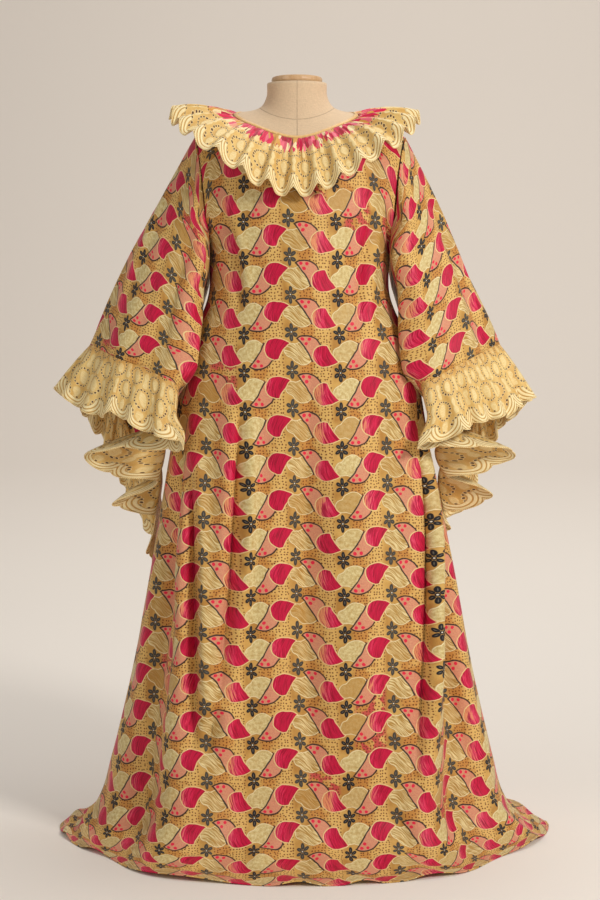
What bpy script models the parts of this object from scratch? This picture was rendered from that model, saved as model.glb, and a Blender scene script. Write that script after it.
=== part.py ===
"""Long embroidered dress with a lace collar ruffle, standing on a limbless dress form.

Metres, +Z up, the front towards -Y. The origin is on the floor under the middle of the
part's box. Every cloth piece is an open sheet of points worked out from the tables below,
thickened by a Solidify modifier, and each piece stops a seam's gap short of its neighbour.
"""
import math

import bpy
import numpy as np

COLLECTION = "embroidered_dress"

# Cloth walls, the gap at every seam, and the gap between cloth and form where it rests.
WALL = 0.0018
LACE_WALL = 0.0016
SEAM = 0.0003
REST = 0.0005

# The sheets are drawn about the form's middle; this moves the whole part over its origin.
SHIFT = (-0.0090, -0.0844, 0.0)

# Samples across and along each sheet.
SHOULDER_STEPS = 4
NECK_STEPS = 18
YOKE_ROWS = 6
SLEEVE_COLUMNS = 36
SLEEVE_ROWS = 8
RUFFLE_ROWS = 4

# How far the soft lengthwise folds of a sleeve swing.
SLEEVE_FOLD = 0.006

# The wide scoop neckline, once round: turn 0 is the left shoulder, 0.25 the front.
# Slope is the fall of the chest below level in degrees.
NECKLINE = {
    "turn": [0.0, 0.125, 0.25, 0.375, 0.5, 0.625, 0.75, 0.875],
    "x": [-0.130, -0.098, -0.006, 0.083, 0.114, 0.083, -0.006, -0.098],
    "y": [0.000, -0.062, -0.092, -0.062, 0.000, 0.052, 0.070, 0.052],
    "z": [1.4375, 1.4120, 1.3820, 1.4120, 1.4365, 1.4440, 1.4460, 1.4440],
    "slope": [29.0, 38.0, 46.0, 38.0, 29.0, 39.0, 45.0, 39.0],
}

# One armhole, once round: turn 0 is the shoulder point, 0.25 the front, 0.5 the underarm.
ARMHOLE = {
    "turn": [0.0, 0.12, 0.25, 0.38, 0.5, 0.62, 0.75, 0.88],
    "out": [0.205, 0.197, 0.187, 0.181, 0.178, 0.181, 0.187, 0.197],
    "y": [0.000, -0.050, -0.082, -0.062, 0.000, 0.055, 0.078, 0.050],
    "z": [1.395, 1.368, 1.305, 1.225, 1.170, 1.225, 1.305, 1.368],
}

# The dress below the underarm. Fall is the cloth's length down from there, left and right
# are half widths, front and back are depths from the form's middle, centre is where the
# ring is widest and square is 1 for an ellipse and less for a boxier ring.
SKIRT = {
    "fall": [0.000, 0.080, 0.185, 0.395, 0.630, 0.815, 1.035, 1.115, 1.185, 1.255, 1.310],
    "z": [1.170, 1.090, 0.988, 0.778, 0.550, 0.368, 0.152, 0.076, 0.021, 0.0, 0.0],
    "left": [0.178, 0.179, 0.218, 0.257, 0.297, 0.331, 0.383, 0.405, 0.436, 0.470, 0.494],
    "right": [0.176, 0.175, 0.216, 0.260, 0.306, 0.341, 0.392, 0.413, 0.448, 0.486, 0.512],
    "front": [0.155, 0.158, 0.160, 0.163, 0.166, 0.168, 0.175, 0.187, 0.234, 0.301, 0.348],
    "back": [0.118, 0.124, 0.138, 0.175, 0.220, 0.262, 0.318, 0.345, 0.395, 0.455, 0.500],
    "centre": [0.000, 0.000, 0.000, 0.015, 0.030, 0.045, 0.060, 0.066, 0.072, 0.078, 0.080],
    "square": [0.90, 0.88, 0.86, 0.86, 0.88, 0.90, 0.95, 1.00, 1.08, 1.18, 1.25],
}

# The skirt's large folds. Top and foot are places across a panel, 0 at its left seam and 1
# at its right, start and full are cloth lengths, behind is the share of the trough beside it.
FOLDS = {
    "panel": ["front", "front", "front", "front", "back", "back", "back", "back", "back"],
    "top": [0.165, 0.330, 0.540, 0.930, 0.15, 0.33, 0.50, 0.68, 0.86],
    "foot": [0.300, 0.345, 0.520, 0.696, 0.20, 0.36, 0.51, 0.66, 0.80],
    "depth": [0.032, 0.018, -0.020, 0.034, 0.026, -0.026, 0.024, -0.026, 0.028],
    "width": [0.048, 0.045, 0.070, 0.048, 0.060, 0.060, 0.060, 0.060, 0.060],
    "behind": [-1.0, 0.6, 0.0, 1.0, -0.5, 0.0, 0.4, 0.0, 0.5],
    "start": [0.20, 0.18, 0.10, 0.16, 0.20, 0.15, 0.25, 0.15, 0.20],
    "full": [0.70, 0.40, 0.60, 0.60, 0.80, 0.70, 0.90, 0.70, 0.80],
}

# The seam between sleeve and cuff ruffle, once round: turn 0 is the outer edge, about 0.26
# the front edge beside the skirt and 0.6 the lowest point behind.
CUFF_SEAM = {
    "turn": [0.0, 0.07, 0.13, 0.19, 0.228, 0.258, 0.33, 0.44, 0.545, 0.605, 0.66, 0.755, 0.85,
             0.935],
    "left": [0.418, 0.382, 0.345, 0.294, 0.262, 0.238, 0.246, 0.271, 0.283, 0.298, 0.322, 0.356,
             0.385, 0.410],
    "right": [0.398, 0.358, 0.325, 0.290, 0.261, 0.238, 0.247, 0.274, 0.287, 0.301, 0.323, 0.354,
              0.380, 0.395],
    "y": [0.010, -0.050, -0.090, -0.118, -0.128, -0.124, -0.070, 0.000, 0.055, 0.090, 0.118,
          0.118, 0.090, 0.050],
    "z": [0.988, 0.975, 0.960, 0.943, 0.927, 0.915, 0.870, 0.792, 0.716, 0.692, 0.732, 0.816,
          0.895, 0.955],
}

# The cuff ruffle's lower edge on each side: the front edge, then a cascade that swings out
# and back three times on its way down beside the skirt, then the plain rear edge.
CUFF_HEM_LEFT = {
    "turn": [0.0, 0.05, 0.10, 0.145, 0.175, 0.205, 0.235, 0.268, 0.305, 0.345, 0.385, 0.425,
             0.452, 0.480, 0.512, 0.536, 0.562, 0.590, 0.615, 0.680, 0.760, 0.850, 0.930],
    "out": [0.485, 0.445, 0.396, 0.356, 0.330, 0.302, 0.268, 0.242, 0.268, 0.340, 0.424, 0.368,
            0.318, 0.378, 0.348, 0.314, 0.349, 0.324, 0.308, 0.336, 0.374, 0.412, 0.455],
    "y": [0.010, -0.040, -0.090, -0.118, -0.130, -0.140, -0.148, -0.146, -0.126, -0.096, -0.060,
          -0.036, -0.014, 0.014, 0.038, 0.056, 0.078, 0.096, 0.108, 0.150, 0.162, 0.130, 0.070],
    "z": [0.896, 0.872, 0.850, 0.856, 0.840, 0.824, 0.811, 0.790, 0.784, 0.788, 0.772, 0.728,
          0.716, 0.669, 0.650, 0.632, 0.564, 0.548, 0.518, 0.600, 0.705, 0.795, 0.862],
}
CUFF_HEM_RIGHT = {
    "turn": [0.0, 0.04, 0.07, 0.12, 0.17, 0.215, 0.262, 0.305, 0.345, 0.385, 0.425, 0.452,
             0.480, 0.512, 0.536, 0.562, 0.590, 0.615, 0.680, 0.760, 0.850, 0.930],
    "out": [0.461, 0.438, 0.416, 0.378, 0.340, 0.306, 0.256, 0.274, 0.346, 0.426, 0.374, 0.324,
            0.388, 0.352, 0.320, 0.338, 0.320, 0.308, 0.336, 0.372, 0.404, 0.440],
    "y": [0.010, -0.030, -0.060, -0.092, -0.120, -0.140, -0.148, -0.126, -0.096, -0.050, -0.026,
          -0.008, 0.020, 0.044, 0.060, 0.082, 0.098, 0.108, 0.150, 0.162, 0.130, 0.066],
    "z": [0.880, 0.869, 0.853, 0.846, 0.836, 0.818, 0.793, 0.790, 0.792, 0.778, 0.740, 0.724,
          0.690, 0.656, 0.646, 0.612, 0.586, 0.566, 0.628, 0.718, 0.800, 0.850],
}
CUFF_FLUTES = 21
CUFF_SCALLOPS = 28
CUFF_FLARE = 0.011

# The collar ruffle: how far it reaches out from the neckline and how far it rises or falls.
COLLAR = {
    "turn": [0.0, 0.09, 0.17, 0.25, 0.33, 0.41, 0.5, 0.59, 0.67, 0.75, 0.83, 0.91],
    "reach": [0.126, 0.124, 0.106, 0.083, 0.106, 0.124, 0.122, 0.120, 0.112, 0.104, 0.112, 0.122],
    "rise": [0.010, -0.030, -0.084, -0.108, -0.084, -0.032, 0.006, 0.000, -0.032, -0.062, -0.032,
             0.002],
}
COLLAR_FLUTES = 28
COLLAR_SCALLOPS = 40
COLLAR_FLARE = 0.012

# The binding's width along the chest and its thickness.
BINDING_WIDTH = 0.0080
BINDING_THICK = 0.0036

# The dress form below its neckline ring, from the shoulder down.
FORM = {
    "z_side": [1.384, 1.330, 1.250, 1.170, 1.080, 0.980, 0.880, 0.810, 0.772],
    "z_front": [1.322, 1.285, 1.240, 1.170, 1.080, 0.980, 0.880, 0.810, 0.772],
    "z_back": [1.378, 1.330, 1.250, 1.170, 1.080, 0.980, 0.880, 0.810, 0.772],
    "half": [0.164, 0.170, 0.166, 0.156, 0.134, 0.152, 0.174, 0.174, 0.150],
    "front": [0.108, 0.126, 0.139, 0.140, 0.122, 0.126, 0.136, 0.136, 0.116],
    "back": [0.068, 0.084, 0.096, 0.096, 0.084, 0.098, 0.118, 0.122, 0.104],
}
# The form's neck, from its top down to the base.
NECK = {
    "z_side": [1.500, 1.474, 1.453],
    "z_front": [1.500, 1.460, 1.424],
    "half": [0.0585, 0.0600, 0.0740],
    "front": [0.0510, 0.0530, 0.0620],
    "back": [0.0530, 0.0540, 0.0600],
}
FORM_X = -0.006
CAP_RADIUS = 0.050
CAP_HEIGHT = 0.012
POLE_RADIUS = 0.0125
BASE_RADIUS = 0.150
BASE_HEIGHT = 0.012


def clear_scene():
    """Remove every object, mesh and material that the file holds."""
    for item in list(bpy.data.objects):
        bpy.data.objects.remove(item, do_unlink=True)
    for mesh in list(bpy.data.meshes):
        bpy.data.meshes.remove(mesh)
    for material in list(bpy.data.materials):
        bpy.data.materials.remove(material)


def cloth_material(name, colour, roughness, metallic=0.0):
    """Return a plain Principled material; colour is linear red, green and blue."""
    material = bpy.data.materials.new(name)
    material.use_nodes = True
    shader = material.node_tree.nodes["Principled BSDF"]
    shader.inputs["Base Color"].default_value = (*colour, 1.0)
    shader.inputs["Roughness"].default_value = roughness
    shader.inputs["Metallic"].default_value = metallic
    material.diffuse_color = (*colour, 1.0)
    return material


def curve_through(keys, values, at):
    """Read a smooth cubic curve through (keys, values) at the places in at."""
    keys = np.asarray(keys, float)
    values = np.asarray(values, float)
    at = np.clip(np.asarray(at, float), keys[0], keys[-1])
    slopes = np.gradient(values, keys)
    i = np.clip(np.searchsorted(keys, at, side="right") - 1, 0, len(keys) - 2)
    span = keys[i + 1] - keys[i]
    t = (at - keys[i]) / span
    return ((2 * t ** 3 - 3 * t ** 2 + 1) * values[i] + (t ** 3 - 2 * t ** 2 + t) * span * slopes[i]
            + (3 * t ** 2 - 2 * t ** 3) * values[i + 1] + (t ** 3 - t ** 2) * span * slopes[i + 1])


def loop_through(turns, values, at):
    """Read a smooth closed curve, one lap in turns 0 to 1, at the places in at."""
    turns = np.asarray(turns, float)
    values = np.asarray(values, float)
    keys = np.concatenate([turns[-3:] - 1, turns, turns[:3] + 1])
    return curve_through(keys, np.concatenate([values[-3:], values, values[:3]]), np.mod(at, 1.0))


def unit(vectors):
    """Scale vectors to length one."""
    return vectors / np.linalg.norm(vectors, axis=-1, keepdims=True)


def square_to(vectors, along):
    """Return the part of each vector that stands square to a direction."""
    return vectors - along * np.sum(vectors * along, -1, keepdims=True)


def smoothstep(low, high, value):
    """Rise smoothly from 0 at low to 1 at high."""
    t = np.clip((value - low) / (high - low), 0, 1)
    return t * t * (3 - 2 * t)


def neckline(turn):
    """Return the neckline's points, its direction away from the neck, and its normal."""
    place = [loop_through(NECKLINE["turn"], NECKLINE[axis], turn) for axis in "xyz"]
    ahead = [loop_through(NECKLINE["turn"], NECKLINE[axis], turn + 0.004) for axis in "xy"]
    behind = [loop_through(NECKLINE["turn"], NECKLINE[axis], turn - 0.004) for axis in "xy"]
    along = np.stack([ahead[0] - behind[0], ahead[1] - behind[1]], -1)
    level = unit(np.stack([along[:, 1], -along[:, 0], 0 * turn], -1))
    slope = np.radians(loop_through(NECKLINE["turn"], NECKLINE["slope"], turn))[:, None]
    up = np.array([0.0, 0.0, 1.0])
    away = level * np.cos(slope) - up * np.sin(slope)
    normal = level * np.sin(slope) + up * np.cos(slope)
    return np.stack(place, -1), away, normal


def armhole(turn, side):
    """Return points on one armhole; side is -1 for the left and 1 for the right."""
    out = loop_through(ARMHOLE["turn"], ARMHOLE["out"], turn)
    y = loop_through(ARMHOLE["turn"], ARMHOLE["y"], turn)
    z = loop_through(ARMHOLE["turn"], ARMHOLE["z"], turn)
    return np.stack([side * out, y, z], -1)


def skirt_point(panel, across, fall):
    """Return points of the dress below the underarm, with its folds."""
    row = {name: curve_through(SKIRT["fall"], SKIRT[name], fall) for name in SKIRT}
    angle = np.pi * across
    half = np.where(across < 0.5, row["left"], row["right"])
    round_off = np.sin(np.clip(angle, 1e-6, np.pi - 1e-6)) ** row["square"]
    x = -half * np.cos(angle)
    if panel == "front":
        y = row["centre"] - (row["front"] + row["centre"]) * round_off
    else:
        y = row["centre"] + (row["back"] - row["centre"]) * round_off
    push = np.zeros_like(x)
    for i, owner in enumerate(FOLDS["panel"]):
        if owner != panel:
            continue
        grown = smoothstep(FOLDS["start"][i], FOLDS["full"][i], fall)
        grown = grown * (1 - 0.6 * smoothstep(1.10, 1.26, fall))
        middle = FOLDS["top"][i] + (FOLDS["foot"][i] - FOLDS["top"][i]) * np.clip(fall / 1.1, 0, 1)
        offset = (across - middle) / FOLDS["width"][i]
        beside = offset - 1.7 * np.sign(FOLDS["behind"][i])
        push += grown * FOLDS["depth"][i] * (np.exp(-offset ** 2)
                                             - abs(FOLDS["behind"][i]) * np.exp(-beside ** 2))
    outward = unit(np.stack([-np.cos(angle) * 0.55, np.sin(angle) * (-1 if panel == "front" else 1)], -1))
    return np.stack([x + outward[..., 0] * push, y + outward[..., 1] * push, np.maximum(row["z"], 0)], -1)


def yoke_point(panel, across, down):
    """Return points between the neckline and shoulder seams (down 0) and the underarm (1)."""
    sign = -1 if panel == "front" else 1
    lap = np.clip((across - 0.2) / 0.6, 0, 1) * 0.5
    neck, _, _ = neckline(lap if panel == "front" else 1 - lap)
    left_share = np.clip(1 - across / 0.2, 0, 1)[..., None]
    right_share = np.clip((across - 0.8) / 0.2, 0, 1)[..., None]
    top = neck + left_share * (armhole(0 * across, -1) - neck)
    top = top + right_share * (armhole(0 * across, 1) - neck)
    top[..., 1] += sign * SEAM * 0.6
    low = skirt_point(panel, across, 0 * across)
    bend = np.stack([0.45 * top[..., 0] + 0.55 * low[..., 0], 0.10 * top[..., 1] + 0.90 * low[..., 1],
                     top[..., 2] - 0.020 - 0.40 * abs(top[..., 1])], -1)
    t = down[..., None]
    points = (1 - t) ** 2 * top + 2 * t * (1 - t) * bend + t ** 2 * low
    for side in (-1, 1):
        near = across if side < 0 else 1 - across
        seam_turn = 0.5 * down if panel == "front" else 1 - 0.5 * down
        seam = armhole(seam_turn, side)
        seam[..., 1] += sign * SEAM * 0.6
        edge_low = armhole(0.5 + 0 * down, side)
        edge_top = armhole(0 * down, side)
        edge_bend = np.stack([0.45 * edge_top[..., 0] + 0.55 * edge_low[..., 0],
                              0.10 * edge_top[..., 1] + 0.90 * edge_low[..., 1],
                              edge_top[..., 2] - 0.020 + 0 * down], -1)
        plain = (1 - t) ** 2 * edge_top + 2 * t * (1 - t) * edge_bend + t ** 2 * edge_low
        share = (np.clip(1 - near / 0.34, 0, 1) ** 1.6)[..., None]
        points = points + share * (seam - plain)
    return points


def panel_grid(panel):
    """Return the inner face of the front or back as rows of points, shoulder to hem."""
    shoulder = np.linspace(0, 0.2, SHOULDER_STEPS + 1)
    neck = np.linspace(0.2, 0.8, NECK_STEPS + 1)
    across = np.concatenate([shoulder[:-1], neck, 1 - shoulder[-2::-1]])
    rows = []
    for down in np.linspace(0, 1, YOKE_ROWS + 1)[:-1]:
        rows.append(yoke_point(panel, across, np.full_like(across, down)))
    falls = [0.0, 0.09, 0.19, 0.34, 0.50, 0.66, 0.82, 0.96, 1.06, 1.125, 1.18, 1.235, 1.310]
    for fall in falls:
        rows.append(skirt_point(panel, across, np.full_like(across, fall)))
    grid = np.array(rows)
    sign = -1 if panel == "front" else 1
    grid[YOKE_ROWS:, 0, 1] += sign * SEAM * 0.6
    grid[YOKE_ROWS:, -1, 1] += sign * SEAM * 0.6
    return grid


def armhole_edge(turn, side):
    """Return an armhole's points, the panels' normal there and the way out of the panel."""
    step = 0.004
    across = np.full_like(turn, 0.02 if side < 0 else 0.98)
    down = np.clip(np.where(turn <= 0.5, 2 * turn, 2 - 2 * turn), 0.01, 0.99)
    inside = np.where((turn <= 0.5)[:, None], yoke_point("front", across, down),
                      yoke_point("back", across, down))
    edge = armhole(turn, side)
    along = armhole(turn + step, side) - armhole(turn - step, side)
    inward = inside - edge
    under = np.exp(-((turn - 0.5) / 0.05) ** 2)[:, None]
    inward = inward * (1 - under) + np.array([0.0, 0.0, -0.01]) * under
    normal = unit(np.cross(along, inward)) * -side
    outward = edge - np.array([0.0, 0.0, 1.25])
    normal = normal * np.sign(np.sum(normal * outward, -1, keepdims=True))
    away = unit(np.cross(normal, along))
    away = away * -np.sign(np.sum(away * inward, -1, keepdims=True))
    return edge, normal, away


def sleeve_folds(turn):
    """Return how far the sleeve's soft lengthwise folds push its front and back in or out."""
    front = smoothstep(0.02, 0.08, turn) * (1 - smoothstep(0.24, 0.34, turn))
    rear = smoothstep(0.64, 0.72, turn) * (1 - smoothstep(0.90, 0.97, turn))
    return SLEEVE_FOLD * np.sin(2 * np.pi * turn * 7.0) * (front + rear)


def cuff_seam(turn, side):
    """Return points on one cuff seam."""
    out = loop_through(CUFF_SEAM["turn"], CUFF_SEAM["left" if side < 0 else "right"], turn)
    y = loop_through(CUFF_SEAM["turn"], CUFF_SEAM["y"], turn) + sleeve_folds(np.mod(turn, 1.0))
    z = loop_through(CUFF_SEAM["turn"], CUFF_SEAM["z"], turn)
    return np.stack([side * out, y, z], -1)


def sleeve_grid(side):
    """Return the outer face of one sleeve as rings of points, armhole to cuff seam."""
    turn = np.arange(SLEEVE_COLUMNS) / SLEEVE_COLUMNS
    edge, normal, away = armhole_edge(turn, side)
    foot = cuff_seam(turn, side)
    under = np.exp(-((turn - 0.5) / 0.16) ** 2)[:, None]
    lead = unit(foot - edge + under * np.array([side * 0.090, 0.0, 0.0]))
    turned = np.sum(lead * away, -1, keepdims=True)
    bend = np.linalg.norm(np.cross(lead, away), axis=-1, keepdims=True)
    hinge = 1 - smoothstep(-0.25, 0.25, turned)
    lift = WALL + hinge * (SEAM + 0.0004)
    gap = (1 - hinge) * (SEAM + 0.0003 + WALL * bend) + hinge * 0.0002
    top = edge + normal * lift + away * gap
    rings = []
    for s in np.linspace(0, 1, SLEEVE_ROWS + 1):
        ring = top + (foot - top) * s
        swell = 4 * s * (1 - s)
        ring = ring + under * swell * np.array([side * 0.026, 0.0, 0.0])
        outer = np.exp(-(np.minimum(turn, 1 - turn) / 0.10) ** 2)[:, None]
        ring = ring + outer * swell * np.array([side * 0.004, 0.0, 0.006])
        ring[:, 1] += sleeve_folds(turn) * (smoothstep(0.15, 0.85, s) - s)
        rings.append(ring)
    return np.array(rings)


def ruffle_grid(seam, hem, flutes, flare, scallops, arch):
    """Return a gathered strip from its seam loop to its hem loop, both closed.

    The flutes swing across the strip, nothing at the seam and most at the hem, and the hem
    is drawn back into scallops between their points.
    """
    count = len(seam)
    turn = np.arange(count) / count
    run = hem - seam
    along = np.roll(seam, -3, axis=0) - np.roll(seam, 3, axis=0)
    normal = unit(np.cross(along, run))
    scallop = np.abs(np.cos(np.pi * scallops * turn)) ** 0.8
    wave = np.sin(2 * np.pi * flutes * turn + 0.7 * np.sin(2 * np.pi * 3 * turn))
    rows = []
    for v in np.linspace(0, 1, RUFFLE_ROWS):
        reach = v * (1 - 0.055 * (1 - scallop) * v ** 3)
        row = seam + run * reach[:, None]
        row = row + normal * (wave * flare * (0.04 + 0.96 * v ** 1.2))[:, None]
        row[:, 2] += arch * 4 * v * (1 - v)
        rows.append(row)
    return np.array(rows)


def cuff_grid(side):
    """Return the outer face of one cuff ruffle."""
    table = CUFF_HEM_LEFT if side < 0 else CUFF_HEM_RIGHT
    turn = np.arange(CUFF_SCALLOPS * 4) / (CUFF_SCALLOPS * 4)
    rings = sleeve_grid(side)[-2:]
    stations = np.arange(SLEEVE_COLUMNS + 1) / SLEEVE_COLUMNS
    before, seam = [np.stack([np.interp(turn, stations, np.append(ring[:, k], ring[0, k]))
                              for k in range(3)], -1) for ring in rings]
    out = loop_through(table["turn"], table["out"], turn)
    y = loop_through(table["turn"], table["y"], turn)
    z = loop_through(table["turn"], table["z"], turn)
    hem = np.stack([side * out, y, z], -1)
    along = unit(np.roll(seam, -1, axis=0) - np.roll(seam, 1, axis=0))
    into = unit(square_to(seam - before, along))
    leave = unit(square_to(hem - seam, along))
    bend = np.linalg.norm(np.cross(into, leave), axis=-1, keepdims=True)
    point = np.exp(-((turn - 0.605) / 0.045) ** 2)[:, None]
    seam = seam + leave * (SEAM + 0.0004 + 1.1 * WALL * bend + 0.0020 * point)
    quiet = smoothstep(0.21, 0.29, turn) * (1 - smoothstep(0.61, 0.68, turn))
    flare = CUFF_FLARE * (1 - 0.75 * quiet)
    return ruffle_grid(seam, hem, CUFF_FLUTES, flare, CUFF_SCALLOPS, 0.004)


def collar_grid():
    """Return the upper face of the collar ruffle."""
    turn = np.arange(COLLAR_SCALLOPS * 4) / (COLLAR_SCALLOPS * 4)
    neck, away, normal = neckline(turn)
    reach = loop_through(COLLAR["turn"], COLLAR["reach"], turn)[:, None]
    rise = loop_through(COLLAR["turn"], COLLAR["rise"], turn)[:, None]
    level = unit(away * np.array([1.0, 1.0, 0.0]))
    seam = neck + normal * (WALL + LACE_WALL + SEAM + 0.0012) + away * 0.0012
    hem = neck + level * reach + np.array([0.0, 0.0, 1.0]) * rise
    return ruffle_grid(seam, hem, COLLAR_FLUTES, COLLAR_FLARE, COLLAR_SCALLOPS, 0.010)


def binding_grid():
    """Return the binding as a closed loop of eight-sided sections on the neckline."""
    turn = np.arange(2 * NECK_STEPS) / (2 * NECK_STEPS)
    neck, away, normal = neckline(turn)
    rows = []
    for k in range(8):
        angle = 2 * np.pi * (k + 0.5) / 8
        wide = math.copysign(abs(math.cos(angle)) ** 0.7, math.cos(angle))
        tall = math.copysign(abs(math.sin(angle)) ** 0.7, math.sin(angle))
        centre = neck - away * (BINDING_WIDTH / 2 + SEAM + 0.0005) + normal * (BINDING_THICK / 2)
        rows.append(centre + away * wide * BINDING_WIDTH / 2 + normal * tall * BINDING_THICK / 2)
    return np.array(rows)


def form_rings():
    """Return the form's rings from the top of its neck to its lower edge."""
    turn = np.arange(2 * NECK_STEPS) / (2 * NECK_STEPS)
    neck, away, normal = neckline(turn)
    angle = 2 * np.pi * turn
    ahead = np.clip(np.sin(angle), 0, 1)
    astern = np.clip(-np.sin(angle), 0, 1)

    def ring(half, front, back, z_side, z_front, z_back):
        depth = np.where(np.sin(angle) > 0, front, back)
        z = z_side + (z_front - z_side) * ahead ** 1.6 + (z_back - z_side) * astern ** 1.6
        return np.stack([FORM_X - half * np.cos(angle), -depth * np.sin(angle), z], -1)

    rings = []
    for i in range(len(NECK["half"])):
        rings.append(ring(NECK["half"][i], NECK["front"][i], NECK["back"][i], NECK["z_side"][i],
                          NECK["z_front"][i], NECK["z_side"][i]))
    rings.append(neck - away * (BINDING_WIDTH + 0.004) - normal * REST)
    rings.append(neck - normal * REST)
    rings.append(neck + away * 0.007 - normal * 0.0095)
    for i in range(len(FORM["half"])):
        rings.append(ring(FORM["half"][i], FORM["front"][i], FORM["back"][i], FORM["z_side"][i],
                          FORM["z_front"][i], FORM["z_back"][i]))
    return np.array(rings)


def sheet_mesh(name, grid, closed, flip, capped=False):
    """Join rows of points into a quad mesh, closed round the columns if asked."""
    rows, columns = grid.shape[:2]
    faces = []
    for r in range(rows - 1):
        for c in range(columns if closed else columns - 1):
            d = (c + 1) % columns
            quad = (r * columns + c, (r + 1) * columns + c, (r + 1) * columns + d, r * columns + d)
            faces.append(quad[::-1] if flip else quad)
    if capped:
        first = tuple(range(columns))
        last = tuple((rows - 1) * columns + c for c in range(columns))
        faces.append(first[::-1] if flip else first)
        faces.append(last if flip else last[::-1])
    mesh = bpy.data.meshes.new(name)
    mesh.from_pydata((grid.reshape(-1, 3) + np.array(SHIFT)).tolist(), [], faces)
    mesh.shade_smooth()
    return mesh


def add_object(name, mesh, material, collection):
    """Link a mesh to the collection as an object with one material."""
    item = bpy.data.objects.new(name, mesh)
    item.data.materials.append(material)
    collection.objects.link(item)
    return item


def thicken(item, thickness, offset):
    """Give an open sheet its wall; offset 1 grows outwards and -1 inwards."""
    wall = item.modifiers.new("Wall", "SOLIDIFY")
    wall.thickness = thickness
    wall.offset = offset
    wall.use_even_offset = False
    wall.use_rim = True
    return wall


def build():
    """Make every piece of the dress and its form."""
    clear_scene()
    collection = bpy.data.collections.new(COLLECTION)
    bpy.context.scene.collection.children.link(collection)
    voile = cloth_material("embroidered_voile", (0.67, 0.38, 0.14), 0.62)
    lace = cloth_material("eyelet_lace", (0.79, 0.56, 0.25), 0.55)
    binding = cloth_material("satin_binding", (0.62, 0.40, 0.15), 0.45)
    linen = cloth_material("form_linen", (0.72, 0.55, 0.38), 0.85)
    wood = cloth_material("form_wood", (0.42, 0.25, 0.12), 0.50)
    steel = cloth_material("form_steel", (0.35, 0.35, 0.36), 0.35, 0.9)

    for panel in ("front", "back"):
        mesh = sheet_mesh(panel + "_panel", panel_grid(panel), False, panel == "back")
        thicken(add_object(panel + "_panel", mesh, voile, collection), WALL, 1)
    for side, word in ((-1, "left"), (1, "right")):
        mesh = sheet_mesh("sleeve_" + word, sleeve_grid(side), True, side > 0)
        thicken(add_object("sleeve_" + word, mesh, voile, collection), WALL, -1)
        mesh = sheet_mesh("cuff_ruffle_" + word, cuff_grid(side), True, side > 0)
        thicken(add_object("cuff_ruffle_" + word, mesh, lace, collection), LACE_WALL, -1)
    mesh = sheet_mesh("collar_ruffle", collar_grid(), True, False)
    thicken(add_object("collar_ruffle", mesh, lace, collection), LACE_WALL, -1)

    grid = binding_grid()
    loop = np.concatenate([grid, grid[:1]])
    mesh = sheet_mesh("neck_binding", loop, True, True)
    item = add_object("neck_binding", mesh, binding, collection)
    weld = item.modifiers.new("Weld", "WELD")
    weld.merge_threshold = 0.00001

    mesh = sheet_mesh("form_torso", form_rings(), True, False, capped=True)
    add_object("form_torso", mesh, linen, collection)

    top = NECK["z_side"][0] + SEAM
    bottom = FORM["z_side"][-1] - SEAM
    bpy.ops.mesh.primitive_cylinder_add(vertices=32, radius=CAP_RADIUS, depth=CAP_HEIGHT,
                                        location=(FORM_X + SHIFT[0], SHIFT[1], top + CAP_HEIGHT / 2))
    finish_primitive("form_cap", wood, collection, 0.004)
    bpy.ops.mesh.primitive_cylinder_add(vertices=24, radius=POLE_RADIUS, depth=bottom - BASE_HEIGHT - SEAM,
                                        location=(FORM_X + SHIFT[0], SHIFT[1],
                                                  (bottom + BASE_HEIGHT + SEAM) / 2))
    finish_primitive("form_pole", steel, collection, 0.0)
    bpy.ops.mesh.primitive_cylinder_add(vertices=48, radius=BASE_RADIUS, depth=BASE_HEIGHT,
                                        location=(FORM_X + SHIFT[0], SHIFT[1], BASE_HEIGHT / 2))
    finish_primitive("form_base", steel, collection, 0.003)


def finish_primitive(name, material, collection, bevel):
    """Name the new primitive, move it to the collection and round its rims."""
    item = bpy.context.active_object
    item.name = name
    item.data.name = name
    for owner in list(item.users_collection):
        owner.objects.unlink(item)
    collection.objects.link(item)
    item.data.materials.append(material)
    if bevel:
        rim = item.modifiers.new("Rim", "BEVEL")
        rim.width = bevel
        rim.segments = 2
        rim.limit_method = "ANGLE"
        rim.angle_limit = math.radians(40)
    item.data.shade_smooth()
    item.data.set_sharp_from_angle(angle=math.radians(40))


build()
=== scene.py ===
"""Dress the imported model: cloth, lace, binding and dress form, with a stage and a camera.

Laid out as an add-on with one operator for each group of like pieces. Every cloth piece is
a surface of two parameters on a grid, worked out with numpy on the same tables of sizes as
the solids, with finer folds and creases, and shown in embroidered voile or eyelet lace.
"""
import math

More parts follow.
